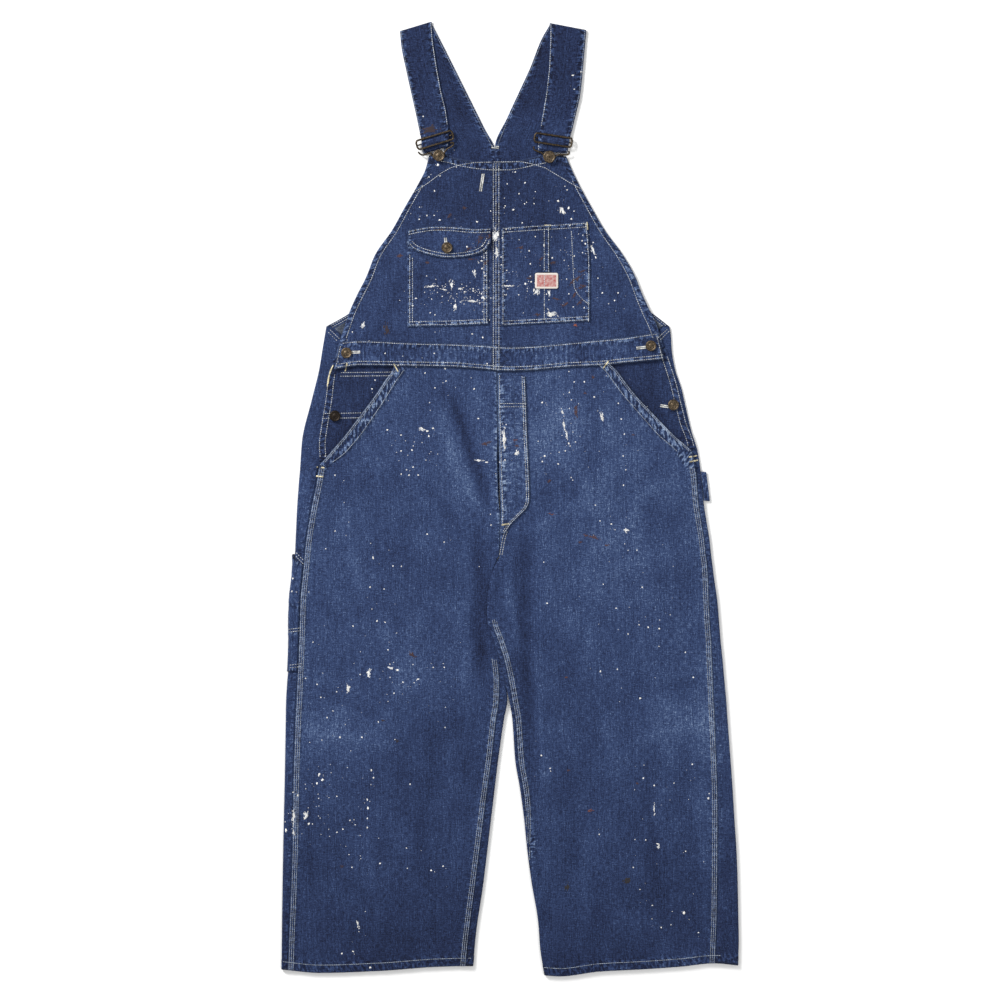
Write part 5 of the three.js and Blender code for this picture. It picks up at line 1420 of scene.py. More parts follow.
def slide(node, centre, degrees):
    a = math.radians(degrees)

    def at(along, across, z):
        return (
            centre[0] + along * math.cos(a) - across * math.sin(a),
            centre[1] + along * math.sin(a) + across * math.cos(a),
            z,
        )

    half, reach, corner = SLIDE["half"], SLIDE["reach"], SLIDE["corner"]
    bars, low = SLIDE["bars"], SLIDE["centre_bar"]
    quarter = [(half - corner, -reach), (half - corner * 0.35, -reach), (half, -reach * 0.55), (half, 0)]
    right = quarter + [(x, -y) for x, y in quarter[-2::-1]]
    ring = [(-half / 2, -reach), (0, -reach), (half / 2, -reach)] + right
    ring += [(half / 2, reach), (0, reach), (-half / 2, reach)] + [(-x, -y) for x, y in right]
    frame_line = wire(f"{node}_frame", [at(x, y, bars) for x, y in ring], WIRE, True)
    ends = [(half, bars), (half - 0.9, bars - 2.2), (half - 2.2, low + 0.6), (half - 5, low)]
    bar = [at(-x, 0, z) for x, z in ends] + [at(0, 0, low)] + [at(x, 0, z) for x, z in ends[::-1]]
    bar_line = wire(f"{node}_bar", bar, SLIDE["centre_wire"], False)
    hardware(node, [frame_line, bar_line])


slide("buckle_slide_left", (-109.2, 172.2), -17)
slide("buckle_slide_right", (62.4, 172.3), 8.6)
z = HOOK_Z
LEFT_HOOK = [
    (-86.5, 177, z + 1.5), (-83.2, 175.2, z + 1.2), (-81.6, 178, z + 0.6), (-84.5, 181.8, z),
    (-90.5, 184.4, z), (-94.8, 188.5, z), (-96.2, 195, z), (-99, 200.3, z), (-103.4, 202, z),
    (-107.6, 200.6, z), (-111.4, 196.4, z), (-114.6, 191.2, z), (-118, 191.4, z),
    (-125.5, 194.3, z), (-130.5, 193.2, z), (-133.4, 189.4, z),
]
RIGHT_HOOK = [
    (34.6, 181.6, z + 1.2), (33.6, 184.6, z + 0.6), (36, 187.2, z), (42.6, 189.6, z),
    (47.2, 191.2, z), (49.4, 196.5, z), (52.2, 202.5, z), (56.6, 204.6, z), (61, 202.5, z),
    (64, 197, z), (68, 193.6, z), (74.6, 193.4, z), (82.5, 193.9, z), (86.4, 191.4, z + 0.4),
    (84.8, 188.6, z + 1),
]
for node, points in (("buckle_hook_left", LEFT_HOOK), ("buckle_hook_right", RIGHT_HOOK)):
    hardware(node, [wire(node, points, WIRE - 0.3, False)])

# The stitching.
# Off-white cotton thread, in rows along every seam, hem and pocket edge, and denser across the
# bar tacks and the worked buttonholes. Each row follows the cloth under it.
vertices, faces = [], []
for piece in cloth_pieces + [label]:
    mesh = piece.data
    points = np.empty(len(mesh.vertices) * 3)
    mesh.vertices.foreach_get("co", points)
    corners = np.empty(len(mesh.loops), int)
    mesh.loops.foreach_get("vertex_index", corners)
    start = len(vertices)
    vertices += points.reshape(-1, 3).tolist()
    faces += (corners.reshape(-1, 4) + start).tolist()
cloth_surface = BVHTree.FromPolygons(vertices, faces)
del vertices, faces
ABOVE = 60  # a height clear of the whole garment


def cloth_below(x, down):
    """The point of the uppermost cloth at a place, in metres, or None beside the garment."""
    return cloth_surface.ray_cast(Vector(in_frame([x, down, ABOVE])), Vector((0, 0, -1)))[0]


def on_cloth(x, down, lift):
    """The same point lifted by some millimetres, from the table where there is no cloth."""
    place, hit = in_frame([x, down, 0]), cloth_below(x, down)
    height = hit.z if hit else 0.0
    return Vector((place[0], place[1], height + lift / 1000))


def thread(name, colour, dirty=0.36):
    """Cotton thread that has dirtied in places."""
    material, tree, shader = new_material(name, {"Roughness": 0.8})
    tones = [(0.38, tuple(c * dirty for c in colour)), (0.62, colour)]
    feed(tree, shader, {"Base Color": ramp(tree, speckle(tree, 170, 4), tones)})
    return material


SWAY = 0.12  # how far a stitch may lean out of its row, in radians
POINT_STEP = 2.4  # from one point of a row's line to the next


def stitch_tree(material):
    """Geometry Nodes: one short rounded stitch at each step along every line, realized."""
    tree = bpy.data.node_groups.new("stitch rows", "GeometryNodeTree")
    face = tree.interface
    face.new_socket("Lines", in_out="INPUT", socket_type="NodeSocketGeometry")
    for label, value in (("Pitch", 0.0035), ("Stitch length", 0.0028), ("Thread", 0.0008), ("Turn", 0.0)):
        face.new_socket(label, in_out="INPUT", socket_type="NodeSocketFloat").default_value = value
    face.new_socket("Stitches", in_out="OUTPUT", socket_type="NodeSocketGeometry")
    given = add(tree, "NodeGroupInput").outputs
    sockets = {"Curve": given["Lines"], "Length": given["Pitch"]}
    spaced = add(tree, "GeometryNodeResampleCurve", sockets, mode="LENGTH")
    one = add(tree, "GeometryNodeMeshUVSphere", {"Segments": 6, "Rings": 4, "Radius": 0.5})
    sockets = {"X": given["Stitch length"], "Y": given["Thread"], "Z": given["Thread"]}
    size = add(tree, "ShaderNodeCombineXYZ", sockets)
    tangent = add(tree, "GeometryNodeInputTangent").outputs["Tangent"]
    aim = add(tree, "FunctionNodeAlignRotationToVector", {"Vector": tangent}, axis="X")
    sway = add(tree, "FunctionNodeRandomValue", {2: -SWAY, 3: SWAY, "Seed": 4}, data_type="FLOAT")
    turned = maths(tree, "ADD", sway.outputs[1], given["Turn"])
    spin = add(tree, "ShaderNodeCombineXYZ", {"Z": turned})
    by = add(tree, "FunctionNodeEulerToRotation", {"Euler": spin.outputs["Vector"]})
    sockets = {"Rotation": aim.outputs["Rotation"], "Rotate By": by.outputs["Rotation"]}
    rotate = add(tree, "FunctionNodeRotateRotation", sockets, rotation_space="LOCAL")
    place = add(tree, "GeometryNodeInstanceOnPoints", {
        "Points": spaced.outputs["Curve"], "Instance": one.outputs["Mesh"],
        "Rotation": rotate.outputs["Rotation"], "Scale": size.outputs["Vector"],
    })
    real = add(tree, "GeometryNodeRealizeInstances", {"Geometry": place.outputs["Instances"]})
    sockets = {"Geometry": real.outputs["Geometry"], "Material": material}
    coat = add(tree, "GeometryNodeSetMaterial", sockets)
    smooth = add(tree, "GeometryNodeSetShadeSmooth", {"Geometry": coat.outputs["Geometry"]})
    add(tree, "NodeGroupOutput", {"Stitches": smooth.outputs["Geometry"]})
    return tree


def sewn(name, lines, tree, slot, pitch, length, width, turn=0.0, lift=0.12):
    """Sews lines of [x, down] points onto the cloth, as one mesh of stitches."""
    data = bpy.data.curves.new(f"{name}_lines", "CURVE")
    data.dimensions = "3D"
    starts = np.random.default_rng(len(lines))
    for line in lines:
        line = np.array(line, float)
        travel = np.r_[0, np.cumsum(np.hypot(*np.diff(line, axis=0).T))]
        at = np.linspace(starts.uniform(0, pitch * 1000), travel[-1], max(3, int(travel[-1] / POINT_STEP)))
        places = np.stack([np.interp(at, travel, line[:, k]) for k in (0, 1)], -1)
        spline = data.splines.new("POLY")
        spline.points.add(len(places) - 1)
        for point, (x, down) in zip(spline.points, places):
            point.co = (*on_cloth(x, down, lift), 1)
    holder = place_object(f"{name}_holder", data)
    modifier = holder.modifiers.new("stitches", "NODES")
    modifier.node_group = tree
    wanted = {"Pitch": pitch, "Stitch length": length, "Thread": width, "Turn": turn}
    for item in tree.interface.items_tree:
        if item.item_type == "SOCKET" and item.in_out == "INPUT" and item.name in wanted:
            modifier[item.identifier] = wanted[item.name]
    mesh = mesh_of(holder)
    holder.modifiers.remove(modifier)
    bpy.data.objects.remove(holder)
    mesh.name = name
    declare(place_object(name, mesh))


def along_x(line, start, end, step=8, lower=0.0):
    """Points of an edge given as a distance down against x, moved down by so much."""
    return [(x, float(line(x)) + lower) for x in stations([start, end], step)]


def along_down(line, start, end, step=8, aside=0.0):
    """Points of an edge given as x against the distance down, moved across by so much."""
    return [(float(line(d)) + aside, d) for d in stations([start, end], step)]


def on_leg(line):
    """The same points, moved to where the leg's rows have settled between waist and hem."""
    return [(x, float(settle(x, d))) for x, d in line]


STITCH, WORN_STITCH = (0.0032, 0.0030, 0.0010), (0.0032, 0.0037, 0.0009)  # pitch, length, thread
ROW_INSETS = (1.9, 4.8, 7.7)
HEM_ROW = 11.6  # the stitched row over a leg's hem
leg_rows = []
for side, (sign, _) in LEGS.items():
    inseam_from, inseam_to = (925, HEM_LINE - 2) if side == "left" else (868, 1262)
    outer_line, inner_line = (lambda d: front_outer(side, d)), (lambda d: front_inner(side, d))
    for into in ROW_INSETS:
        row = along_down(outer_line, PLACKET_END + 4, HEM_LINE - 2, aside=-sign * into)
        leg_rows.append(on_leg(row))
        row = on_leg(along_down(inner_line, inseam_from, inseam_to, aside=sign * into))
        if side == "right":  # the seam rolls over the fold on its way down
            row = [(x - 13 * float(rise(1110, 1260, d)), d) for x, d in row]
            row = [(x, d) for x, d in row if x > float(edge[side]["inner"](d)) + 1.2]
        leg_rows.append(row)
    ends = float(outer_line(HEM_LINE)), float(inner_line(HEM_LINE))
    leg_rows.append(along_x(hem, min(ends) - 6, max(ends) + 6, lower=-HEM_ROW))
    # The slant pocket: two rows by the opening and one at the band's lower edge
    top, bottom = (509, 638) if side == "left" else (501, 622)
    for into in (1.8, 4.6, None):
        band_line = lambda d: slant[side](d) - sign * (into or band_at(d) - 2)
        leg_rows.append(on_leg(along_down(band_line, top, bottom, 6)))
off_white = stitch_tree(thread("off_white_thread", (0.60, 0.63, 0.65)))
worn_white = stitch_tree(thread("worn_white_thread", (0.36, 0.41, 0.49), 0.4))
sewn("leg_stitching", leg_rows, worn_white, "stitching", *WORN_STITCH)

FACING = [
    # x, down: the curved lower edge of the facing inside the bib's top
    (-140.6, 248.7), (-118.9, 234.2), (-101.5, 221.1), (-87, 212.4), (-72.5, 208), (-50.8, 204.6),
    (-20, 203.8), (14.5, 203.4), (29, 206), (50.8, 212.4), (72.5, 225.5), (87, 234.2), (103, 243),
]
TOP_ROW = [
    (-103, 202), (-87, 205.2), (-72.5, 209.5), (-50.8, 213.2), (-29, 215.3), (0, 215.3),
    (14.5, 213.2), (36.3, 208), (50.8, 205.2),
]
CURVED_ROW = [
    (88.5, 302.3), (90, 331.3), (91.3, 360.3), (92.8, 386.4), (98.6, 396.6), (107.3, 405.3),
    (112.5, 409),
]
bib_rows = [
    along_down(bib_edge["left"], 236, 458, aside=7.2),
    along_down(bib_edge["right"], 232, 458, aside=-7.2),
]
for into in (1.6, 5.4, 9.6):
    bib_rows.append([(BIB_CENTRE + into, 205), (BIB_CENTRE + into, 504)])
bib_rows += [FACING, TOP_ROW]
for into in (3, 7):
    bib_rows.append([(-148.5 + into, 336 + into), (-148.5 + into, 436)])
    bib_rows.append([(-31 - into, 330), (-31 - into, 434)])
for into in (2.6, 7.4):
    bib_rows.append(along_x(left_pocket_bottom, -147, -34, lower=-into))
for into in (2.4, 6.4):
    bib_rows.append(along_x(flap_top, -146, -30, 6, into))
    row = along_x(flap_point, -147, -29, 3, -into)
    bib_rows.append([(x * (1 - into / 75) - 88 * into / 75, down) for x, down in row])
for into in (2.4, 7.6):
    bib_rows.append(along_x(right_pocket_top, -10, 110, lower=into))
for into in (2.2, 6.6):
    bib_rows.append(along_x(right_pocket_bottom, -10, 113, lower=-into))
bib_rows.append([(float(right_pocket_edge(v)) - 2.2, 293 + 141 * v) for v in np.linspace(0, 1, 20)])
bib_rows += [[(-10.4, 302), (-10.4, 438)], [(49.5, 300), (49.5, 432)], [(55.4, 298), (55.4, 362)]]
bib_rows += [CURVED_ROW, along_x(band_top, -243, 211, lower=2.4)]
for into in (2.4, 6.6):
    bib_rows.append(along_x(band_bottom, -249, 220, lower=-into))
bib_rows += [[(-245.4, 470), (-252, 500)], [(212, 455), (219.5, 486)]]
sewn("bib_stitching", bib_rows, off_white, "stitching", *STITCH)

OPEN_CORNERS = [
    # x and down of both ends: the back's hem and the side opening's, left and right
    (-260, 440.8, -236, 427.5), (-257, 442.8, -236, 431.2), (-262, 446, -248, 459.5),
    (-264.5, 449.5, -252, 462), (208.8, 427.6, 225, 440.2), (206.6, 430.3, 220, 440.7),
    (228, 446, 215, 458), (230.5, 449, 218, 461),
]
SHOULDERS = {"left": (-159.2, 16, -113.4, 3), "right": (109.9, 15, 57.2, 5)}
NEAR, FAR = 0.035, 0.965  # shares of a strap's width at which its rows run
detail_rows = []
for rows, sign, top, end in ((LEFT_HIP, -1, 512, 630), (RIGHT_HIP, 1, 500, 614)):
    for into in (2.2, 10.4):
        row = along_down(curve(rows, 0, 1), top, end)
        detail_rows.append([(x - sign * into, float(settle(x, d))) for x, d in row])
for into in (2.2, 7.4):
    detail_rows.append([(x, 507 + into + (x + 250) * -0.01) for x in stations([-246, -172], 8)])
for into in (1.8, 4.8):
    row = along_down(fly_edge, 512, 738, 4, -into)
    detail_rows.append([(x, float(settle(0, d))) for x, d in row])
detail_rows.append(along_down(fly_seam, 514, 728, 6, 3.4))
detail_rows += [[(-15, 554), (22, 554)], [(-15, 558.6), (22, 558.6)]]
for aside in (0, 3.4):
    detail_rows.append([(-8 + aside, 740), (-10.5 + aside, 748), (-12.5 + aside, 758), (-15 + aside, 772)])
detail_rows += [[(a, b), (c, d)] for a, b, c, d in OPEN_CORNERS]


def strap_row(rows, share):
    """A line down a strap, at a share of its width from its outer edge."""
    return [(r[0] + (r[2] - r[0]) * share, r[1] + (r[3] - r[1]) * share) for r in rows]


strap_rows = []
for side, strap, back in (("left", LEFT_STRAP, LEFT_BACK), ("right", RIGHT_STRAP, RIGHT_BACK)):
    for share, store in ((NEAR, strap_rows), (FAR, detail_rows)):
        store += [strap_row(strap[5:] + [SHOULDERS[side]], share), strap_row(strap[:3], share)]
    strap_rows.append(strap_row([SHOULDERS[side]] + back[:5], FAR))
for down in (772, 777.5):
    detail_rows.append([(-309.8, down - 2), (-306, down + 2.5), (-300.5, down + 8)])
for down in (880, 884, 932, 936):
    detail_rows.append([(-320.6, down + 1), (-304, down - 1)])
for down in (568.5, 575.5):
    detail_rows.append([(-270, down), (-217, down - 1)])
sewn("detail_stitching", detail_rows, off_white, "stitching", *STITCH)
faded_white = stitch_tree(thread("faded_white_thread", (0.25, 0.30, 0.39), 0.4))
sewn("strap_stitching", strap_rows, faded_white, "stitching", *WORN_STITCH)

BAR_TACKS = [
    # x and down of both ends
    (-236, 495.5, -239, 507), (-168.5, 496.5, -162.5, 507.5), (142.5, 492.5, 135, 502.5),
    (-280, 646, -269.5, 647), (-281, 659, -271, 660), (259, 631.5, 270.5, 629.5),
    (259.5, 638.5, 272, 636), (-12.5, 730, -1.5, 728), (49.5, 296, 59, 296), (111, 290.8, 112, 302),
]
FRAYED = [
    [(-256.5, 499), (-260.5, 506), (-263.6, 518), (-264.8, 529)],
    [(-258.5, 503), (-262.4, 514), (-263.6, 524)],
]
BUTTONHOLES = [
    # x and down of both ends
    (-39, 221, -43, 246), (-233, 480, -217.5, 479.6), (183, 474, 196, 472.5), (-94, 314, -93, 321),
    (217.5, 557, 229, 558.5), (-26.8, 181.5, -16.7, 182.8),
]
BUTTONHOLE_HALF = 1.2  # from a buttonhole's slit to its worked edge
ACROSS = math.pi / 2  # stitches that lie across their row
cream = stitch_tree(thread("cream_thread", (0.80, 0.72, 0.48)))
tacks = [[(a, b), (c, d)] for a, b, c, d in BAR_TACKS]
sewn("bar_tacks", tacks, cream, "bar_tack", 0.0006, 0.0026, 0.0008, ACROSS, 0.3)
sewn("frayed_cotton", FRAYED, cream, "stitching", 0.0011, 0.0034, 0.0011, 0.5, 0.3)
white = stitch_tree(thread("white_thread", (0.82, 0.82, 0.78)))
loops = []
for a, b, c, d in BUTTONHOLES:
    run = math.hypot(c - a, d - b)
    nx, ny = -(d - b) / run, (c - a) / run
    for k in (-BUTTONHOLE_HALF, BUTTONHOLE_HALF):
        loops.append([(a + nx * k, b + ny * k), (c + nx * k, d + ny * k)])
sewn("buttonholes", loops, white, "stitching", 0.0006, 0.0021, 0.0008, ACROSS, 0.25)

# The paint.
# Dried house paint, white and cream: flicked dots, blobs and a few dragged smears, thin on the
# cloth and with uneven edges.
paint, tree, shader = new_material("dried_paint", {"Roughness": 0.6})
tone = ramp(tree, speckle(tree, 60), [(0.35, (0.70, 0.68, 0.62)), (0.62, (0.86, 0.85, 0.81))])
cover = add(tree, "ShaderNodeAttribute", attribute_name="cover").outputs["Fac"]
thinned = add(tree, "ShaderNodeMix", None, data_type="RGBA")
feed(tree, thinned, {"Factor": cover, "A": (0.13, 0.17, 0.26, 1), "B": tone})
crust = bump(tree, speckle(tree, 900), 0.5, 0.0002)
feed(tree, shader, {"Base Color": thinned.outputs["Result"], "Normal": crust})

DOT = (3, 3, 0)  # the two sizes and the slant of a dot that gives none
BLOBS = [
    # x and down; for more than a dot also its two sizes, the longer of which lies along its slant;
    # and the slant in degrees from across. With no slant the first size is across, the second down.
    (-126, 137.8), (91, 78.3, 4, 3), (103, 73.2, 5, 4, 30), (-104.5, 208, 4.4, 5.6, 90),
    (-109.5, 245.8), (-101.5, 224, 2.6, 2.6), (-117.5, 225.5, 2.4, 2.4), (-120.4, 281.3, 2.4, 3),
    (-110.2, 281.3, 2.4, 2.4), (-132, 287.1, 3, 2.6), (-102.2, 287.8, 4, 3.4), (-47.9, 290.7, 4, 4),
    (7.3, 218.2, 2.4, 3), (-4.4, 235.6, 2.4, 2.4), (13, 250.1, 2.6, 3), (21, 264.6, 2.6, 2.6),
    (-7.3, 267.5, 2.4, 2.4), (4.4, 273.3, 4, 3, 20), (69.6, 260.3, 4, 4), (76, 275, 13, 5.5, 112),
    (84.8, 270.4, 4, 5), (88.5, 286.4, 4, 3.4), (82.7, 244.3, 2.4, 2.4), (17.4, 292.2),
    (-21.8, 311, 8, 14, 80), (-19.6, 334, 5, 14, 90), (-13, 341.5), (-13, 353, 2.6, 2.6), (-11.6, 314),
    (-40.6, 325.5), (-62.4, 327), (-42, 347.3), (-51.5, 363, 3.4, 10, 95), (-36.3, 369),
    (-114, 384.2, 18, 3.4, 4), (-85, 382, 13, 3.6, 88), (-96, 389, 8, 2.4, -8), (-73, 388, 7, 2.6, 12),
    (-66, 392, 4, 3, 10), (-53.7, 390.8, 3.4, 3), (-80, 413, 11, 4, 84), (-54, 405.5, 18, 2.6, -6),
    (-39, 401, 6.5, 2.6, -10), (-136.3, 401.7, 4, 3), (-116, 422.7), (-108.8, 425.6), (-5.8, 396.6),
    (-2.2, 383.5, 18, 2.2, 2), (21.8, 380.6, 4, 4), (30.5, 377.7, 3.4, 3.4), (38, 391.5, 7, 9, 70),
    (56.6, 394.4, 4, 8, 90), (59.5, 424, 13, 8, -15), (91.4, 414), (107.3, 415.4),
    (120.4, 332, 11, 4.5, 105), (124, 342, 5, 2.6, 105), (108.8, 322.6), (104.4, 318.3, 2.6, 2.6),
    (49.3, 325, 3, 6, 90), (55.1, 338.6), (60.9, 342.9), (92.8, 340), (27.6, 332.8), (29, 351.6),
    (-5.1, 361), (133.4, 393.7), (156.6, 393.7), (151.5, 404.6), (-213, 440, 4.4, 8, 85),
    (-228.4, 450.2), (-181.3, 481.4), (-110.2, 481.4), (-55.1, 453.1), (-39.9, 458.2, 4, 3),
    (-94.3, 503.2, 3.4, 3.4), (-92.8, 521.3), (-52.2, 532.9, 3.4, 3.4), (-108.8, 531.4),
    (-123.3, 509.7), (-195.8, 519.8), (-200.1, 532.9), (-158, 599.6, 4, 3), (-128, 591, 9, 4, -12),
    (-120, 594, 6, 3.4, 10), (-112, 590, 4, 3), (-118, 601, 3, 4), (-142.1, 621.3, 3.4, 3.4),
    (-158, 622.8), (-140.7, 646), (-158, 656.1), (-146.5, 657.6), (-133.4, 657.6), (-253.8, 657.6),
    (-45, 636.5, 12, 3, -5), (-34, 639, 5, 2.6), (-27.6, 730), (92.8, 522.7), (107.3, 522.7),
    (85.6, 538), (121.8, 544.5), (88.5, 548.8), (46.4, 552.4), (156.6, 553.9), (75.8, 567, 9, 2.4, 100),
    (77.6, 585, 12, 4.4, 95), (82, 600, 12, 2.2, 103), (85, 612, 5, 3, 100), (87, 615.5),
    (132.5, 573, 13, 4, 103), (161, 576.4), (165.3, 598.2), (163.9, 630), (50, 630, 5, 4), (46.4, 638),
    (79.8, 622.8), (69.6, 641.6), (88.5, 661.2), (163.9, 672.1), (123.3, 701.1), (146.5, 728.6),
    (168.2, 737.5, 9, 4, -10), (-5.8, 584.4), (-7.3, 635.8), (9.4, 626, 4, 8, 80),
    (-8.7, 605, 30, 5, 91), (-253.8, 738.8), (-120.4, 743.1), (-95.7, 754.7), (-198.7, 778, 3, 6, 90),
    (-169.7, 789.5), (-203, 820), (-182.7, 822.9), (-192.9, 869.3, 3.4, 3.4), (-181.3, 870.7),
    (-227.7, 876.5), (-285.7, 899.7), (-204.5, 944, 4.4, 13, 78), (-174, 937, 8, 4, -10),
    (-163, 940, 6, 3.4), (-111.7, 936), (-95.7, 936), (-133.4, 953.4, 5, 3), (-155.2, 957.7),
    (-234.9, 966, 4, 11, 88), (-279.9, 960.6), (-168.2, 973.7), (-274.1, 979.5), (-265.4, 1009.2),
    (-94.3, 1023), (-246.5, 1037.5, 4, 4), (-214.6, 1037.5), (-314.7, 807, 3, 4),
    (-316.1, 826, 2.2, 4, 85), (-277, 1092, 4, 6, 70), (-272, 1099, 5, 4), (-280, 1104, 3, 5),
    (-307.4, 1121.6, 4, 5), (-296, 1151, 6, 12, 85), (-292, 1163, 4, 5, 60), (-314, 1152, 4, 26, 88),
    (-314, 1175, 3, 10, 90), (-250.9, 1123), (-201, 1085, 3, 5, 100), (-198, 1096, 2.6, 4, 100),
    (-207, 1128, 2.6, 5, 95), (-206, 1140, 3, 6, 95), (-207, 1155, 2.6, 4, 95),
    (-207, 1168, 2.6, 4, 90), (-232, 1157.8), (-250.9, 1175.2), (-242.2, 1170.9), (-145, 1105.6),
    (-188.5, 1220.2, 4, 4), (-229.1, 1226), (-114.6, 1230.3), (-97.2, 1224.5),
    (-221, 1308, 2.6, 14, 105), (-243.6, 1350.7), (-227.7, 1347.8), (-203, 1371, 5, 3.4),
    (-324.8, 1172.3, 4, 6), (134.9, 815.6), (191.4, 820), (53.7, 843.2), (153.7, 850.4), (200.1, 878),
    (216, 880.2), (130.5, 941.8), (155.2, 938.9), (265.4, 950.5), (188.5, 980.9, 3.4, 3.4),
    (45, 1063.6), (263.9, 1076.6), (192.9, 1096.9, 3.4, 3.4), (208.8, 1107.1), (58, 1082.4),
    (208.8, 1142, 1.6, 18, 92), (287.1, 1125.9, 4, 4), (129.1, 1178.1), (215, 1196, 3, 10, 110),
    (254.5, 1202.8), (178.4, 1226), (205.9, 1281.1), (219, 1313), (272.6, 1320.3),
    (251.6, 1292, 4, 6, 80),
]
SPATTER = [
    # x, down, spread across, spread down, how many
    (-62, 398, 20, 9, 80), (-40, 372, 5, 26, 22), (-104, 386, 16, 7, 20), (96, 335, 16, 14, 20),
    (-135, 615, 20, 16, 16), (30, 385, 26, 12, 22), (-280, 1120, 24, 40, 30), (-195, 950, 36, 26, 24),
]
FLECKS = 420  # fine specks flung round the blobs
BIG = 6.0  # a blob longer than this was dragged, and has broken into strokes
SMALL_DOT = 2.2
PATCH_RINGS = ((1.0, 0.02), (0.7, 0.22))  # share of a patch's size, height over the cloth
PATCH_MIDDLE = 0.28
dice = np.random.default_rng(77)


def along_slant(x, down, u, w, degrees):
    """The place that lies u along a slant and w across it from a point."""
    a = math.radians(degrees)
    return x + u * math.cos(a) + w * math.sin(a), down - u * math.sin(a) + w * math.cos(a)


def patch_of(store, x, down, length, width, degrees, jag, tone):
    """One raised patch with an uneven outline: an edge ring in the cloth, a ring and a middle."""
    points, faces, tones = store
    sides = 7 if max(length, width) < SMALL_DOT else 12
    start = len(points)
    rough = 1 + jag * dice.uniform(-1, 1, sides)
    for ring, lift in PATCH_RINGS:
        for k in range(sides):
            b = 2 * math.pi * k / sides
            u = 0.5 * length * ring * rough[k] * math.cos(b)
            w = 0.5 * width * ring * rough[k] * math.sin(b)
            points.append(tuple(on_cloth(*along_slant(x, down, u, -w, degrees), lift)))
    points.append(tuple(on_cloth(x, down, PATCH_MIDDLE)))
    tones += [tone] * (2 * sides + 1)
    for k in range(sides):
        n = (k + 1) % sides
        faces.append((start + k, start + n, start + sides + n, start + sides + k))
        faces.append((start + sides + k, start + sides + n, start + 2 * sides))


def dragged(store, x, down, length, width, degrees, low, high):
    """A smear: small strokes scattered along its line, thick in the middle and thin round it."""
    for _ in range(int(6 + length * 1.1)):
        u = dice.normal(0, 0.30) * length
        w = dice.normal(0, 0.26) * width
        size = (0.10 + 0.20 * math.exp(-((u / length) ** 2) * 9)) * width + 0.7
        place = along_slant(x, down, u, w, degrees)
        lean = degrees + dice.normal(0, 22)
        tone = dice.uniform(low, high)
        long, wide = size * dice.uniform(1.1, 2.6), size * dice.uniform(0.5, 1.0)
        patch_of(store, *place, long, wide, lean, 0.45, tone)


def finish_marks(name, store, label, material):
    points, faces, tones = store
    mesh = bpy.data.meshes.new(name)
    mesh.from_pydata(points, [], faces)
    mesh.attributes.new(label, "FLOAT", "POINT").data.foreach_set("value", tones)
    marks = bmesh.new()
    marks.from_mesh(mesh)
    for face in marks.faces:
        face.normal_update()
        if face.normal.z < 0:
            face.normal_flip()
    marks.to_mesh(mesh)
    marks.free()
    mesh.shade_smooth()
    mesh.materials.append(material)
    declare(place_object(name, mesh))


spots = ([], [], [])
for entry in BLOBS:
    x, down, across, along, degrees = *entry, *DOT[len(entry) - 2:]
    length, width = max(across, along), min(across, along)
    if not degrees and along > across:
        degrees = 90
    if length > BIG:
        patch_of(spots, x, down, length * 0.42, width * 0.42, degrees, 0.55, 1.0)
        dragged(spots, x, down, length, width, degrees, 0.35, 1.0)
    else:
        patch_of(spots, x, down, length * 0.7, width * 0.7, degrees, 0.45, dice.uniform(0.85, 1.0))
clusters = [(*BLOBS[dice.integers(len(BLOBS))][:2], 22, 24, 1) for _ in range(FLECKS)] + SPATTER
places = [c[:4] for c in clusters for _ in range(c[4])]
for middle, height, spread_across, spread_down in places:
    x, down = middle + dice.normal(0, spread_across), height + dice.normal(0, spread_down)
    size = 0.6 + 1.3 * dice.random() ** 2
    if cloth_below(x, down) is not None:
        wide, degrees = size * dice.uniform(0.7, 1.4), dice.uniform(0, 180)
        patch_of(spots, x, down, size, wide, degrees, 0.35, dice.uniform(0.45, 1.0))
finish_marks("paint_spots", spots, "cover", paint)

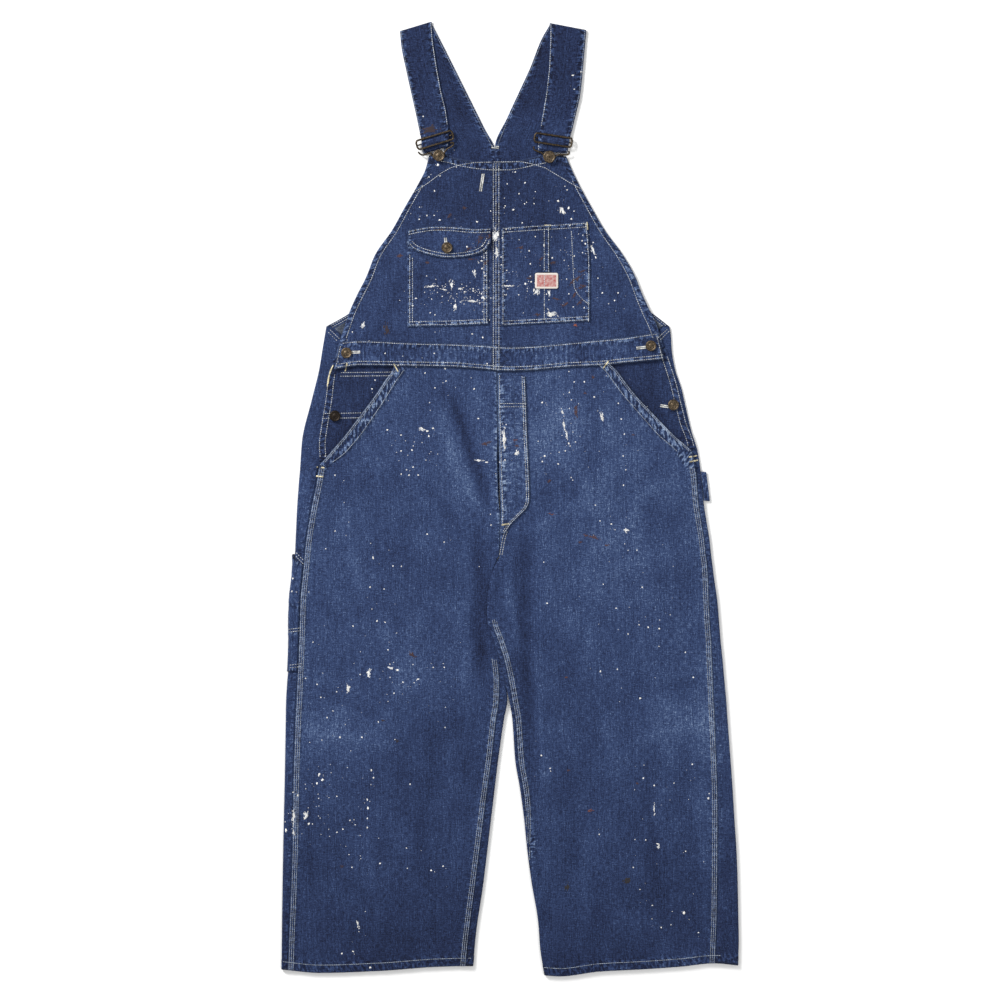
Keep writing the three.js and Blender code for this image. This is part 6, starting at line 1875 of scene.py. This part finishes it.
# The brown marks.
# Thin dark brown paint and rust that has gone into the cloth: short dragged strokes, mostly on
# the bib pockets and round the fly.
STAINS = [
    # x, down, length, width, slant in degrees, tone from near black to orange
    (-178.5, 446, 21, 8, 90, 0.14), (-159.5, 340, 7, 5, 20, 0.35), (-116, 157, 22, 15, 15, 0.16),
    (-43.5, 317, 16, 7, 60, 0.22), (94, 440, 5, 4, 0, 0.85), (95, 566, 24, 5.5, 88, 0.30),
    (120, 515.5, 4, 4, 0, 0.3), (108.8, 538.7, 4, 3, 0, 0.35), (7.3, 607, 5, 4, 0, 0.45),
    (-37, 612.6, 13, 4.5, 15, 0.32), (178.4, 599.6, 4, 3, 0, 0.3), (56.6, 666.3, 6, 3, 0, 0.3),
    (59.5, 714, 8, 3, -10, 0.5), (122, 748, 20, 5, -14, 0.38), (101.5, 754.7, 6, 3, 0, 0.35),
    (139.2, 759, 6, 3, 0, 0.32), (-141, 918.6, 14, 6, -42, 0.26), (-184.2, 1012.8, 5, 4, 0, 0.15),
    (-163.9, 1041.8, 5, 4, 0, 0.08), (81.2, 950.5, 4, 3, 0, 0.4), (84.1, 1085.3, 4, 3, 0, 0.3),
    (184.2, 1104.2, 4, 3, 0, 0.3), (116, 1143.3, 9, 4, 10, 0.55), (-243.6, 1224.5, 5, 4, 0, 0.2),
    (169.7, 1244.8, 13, 10, 20, 0.04), (82.7, 1255, 12, 7, 80, 0.04), (96, 374, 24, 6, 35, 0.25),
    (104, 385, 16, 5, 20, 0.28), (92, 398, 14, 4, 60, 0.3), (14.5, 328.4, 10, 5, 20, 0.28),
    (-60, 330, 10, 4, 40, 0.25), (-100, 302, 26, 3.5, 2, 0.22), (-35, 350, 12, 4, 50, 0.28),
    (62, 350, 14, 4, 10, 0.25), (80, 410, 12, 5, 30, 0.3), (40, 425, 10, 4, 0, 0.28),
    (-30, 312, 14, 5, 55, 0.24), (-56, 345, 12, 3, 0, 0.3), (104, 362, 10, 5, 10, 0.2),
    (45, 345, 10, 3, 60, 0.3), (-120, 350, 6, 4, 0, 0.3), (66, 402, 14, 3, -10, 0.3),
    (100, 408, 12, 4, 40, 0.26), (28, 372, 9, 4, 20, 0.26), (-65, 270, 8, 4, 0, 0.25),
    (-88, 282, 8, 5, 40, 0.22), (10, 615, 6, 4, 0, 0.35), (110, 745, 8, 3, -20, 0.35),
    (-30, 610, 8, 3, 10, 0.3),
]
BROWN_TONES = [
    # age from new to rusted, colour
    (0.0, (0.011, 0.011, 0.012)), (0.2, (0.028, 0.016, 0.022)), (0.5, (0.085, 0.036, 0.036)),
    (1.0, (0.30, 0.075, 0.030)),
]
brown, tree, shader = new_material("brown_marks", {"Roughness": 0.9})
age = add(tree, "ShaderNodeAttribute", attribute_name="age").outputs["Fac"]
feed(tree, shader, {"Base Color": ramp(tree, age, BROWN_TONES)})
stains = ([], [], [])
for x, down, length, width, degrees, tone in STAINS:
    dragged(stains, x, down, length * 0.9, width * 0.8, degrees, tone * 0.8, tone * 1.25)
finish_marks("brown_marks", stains, "age", brown)

low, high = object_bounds()
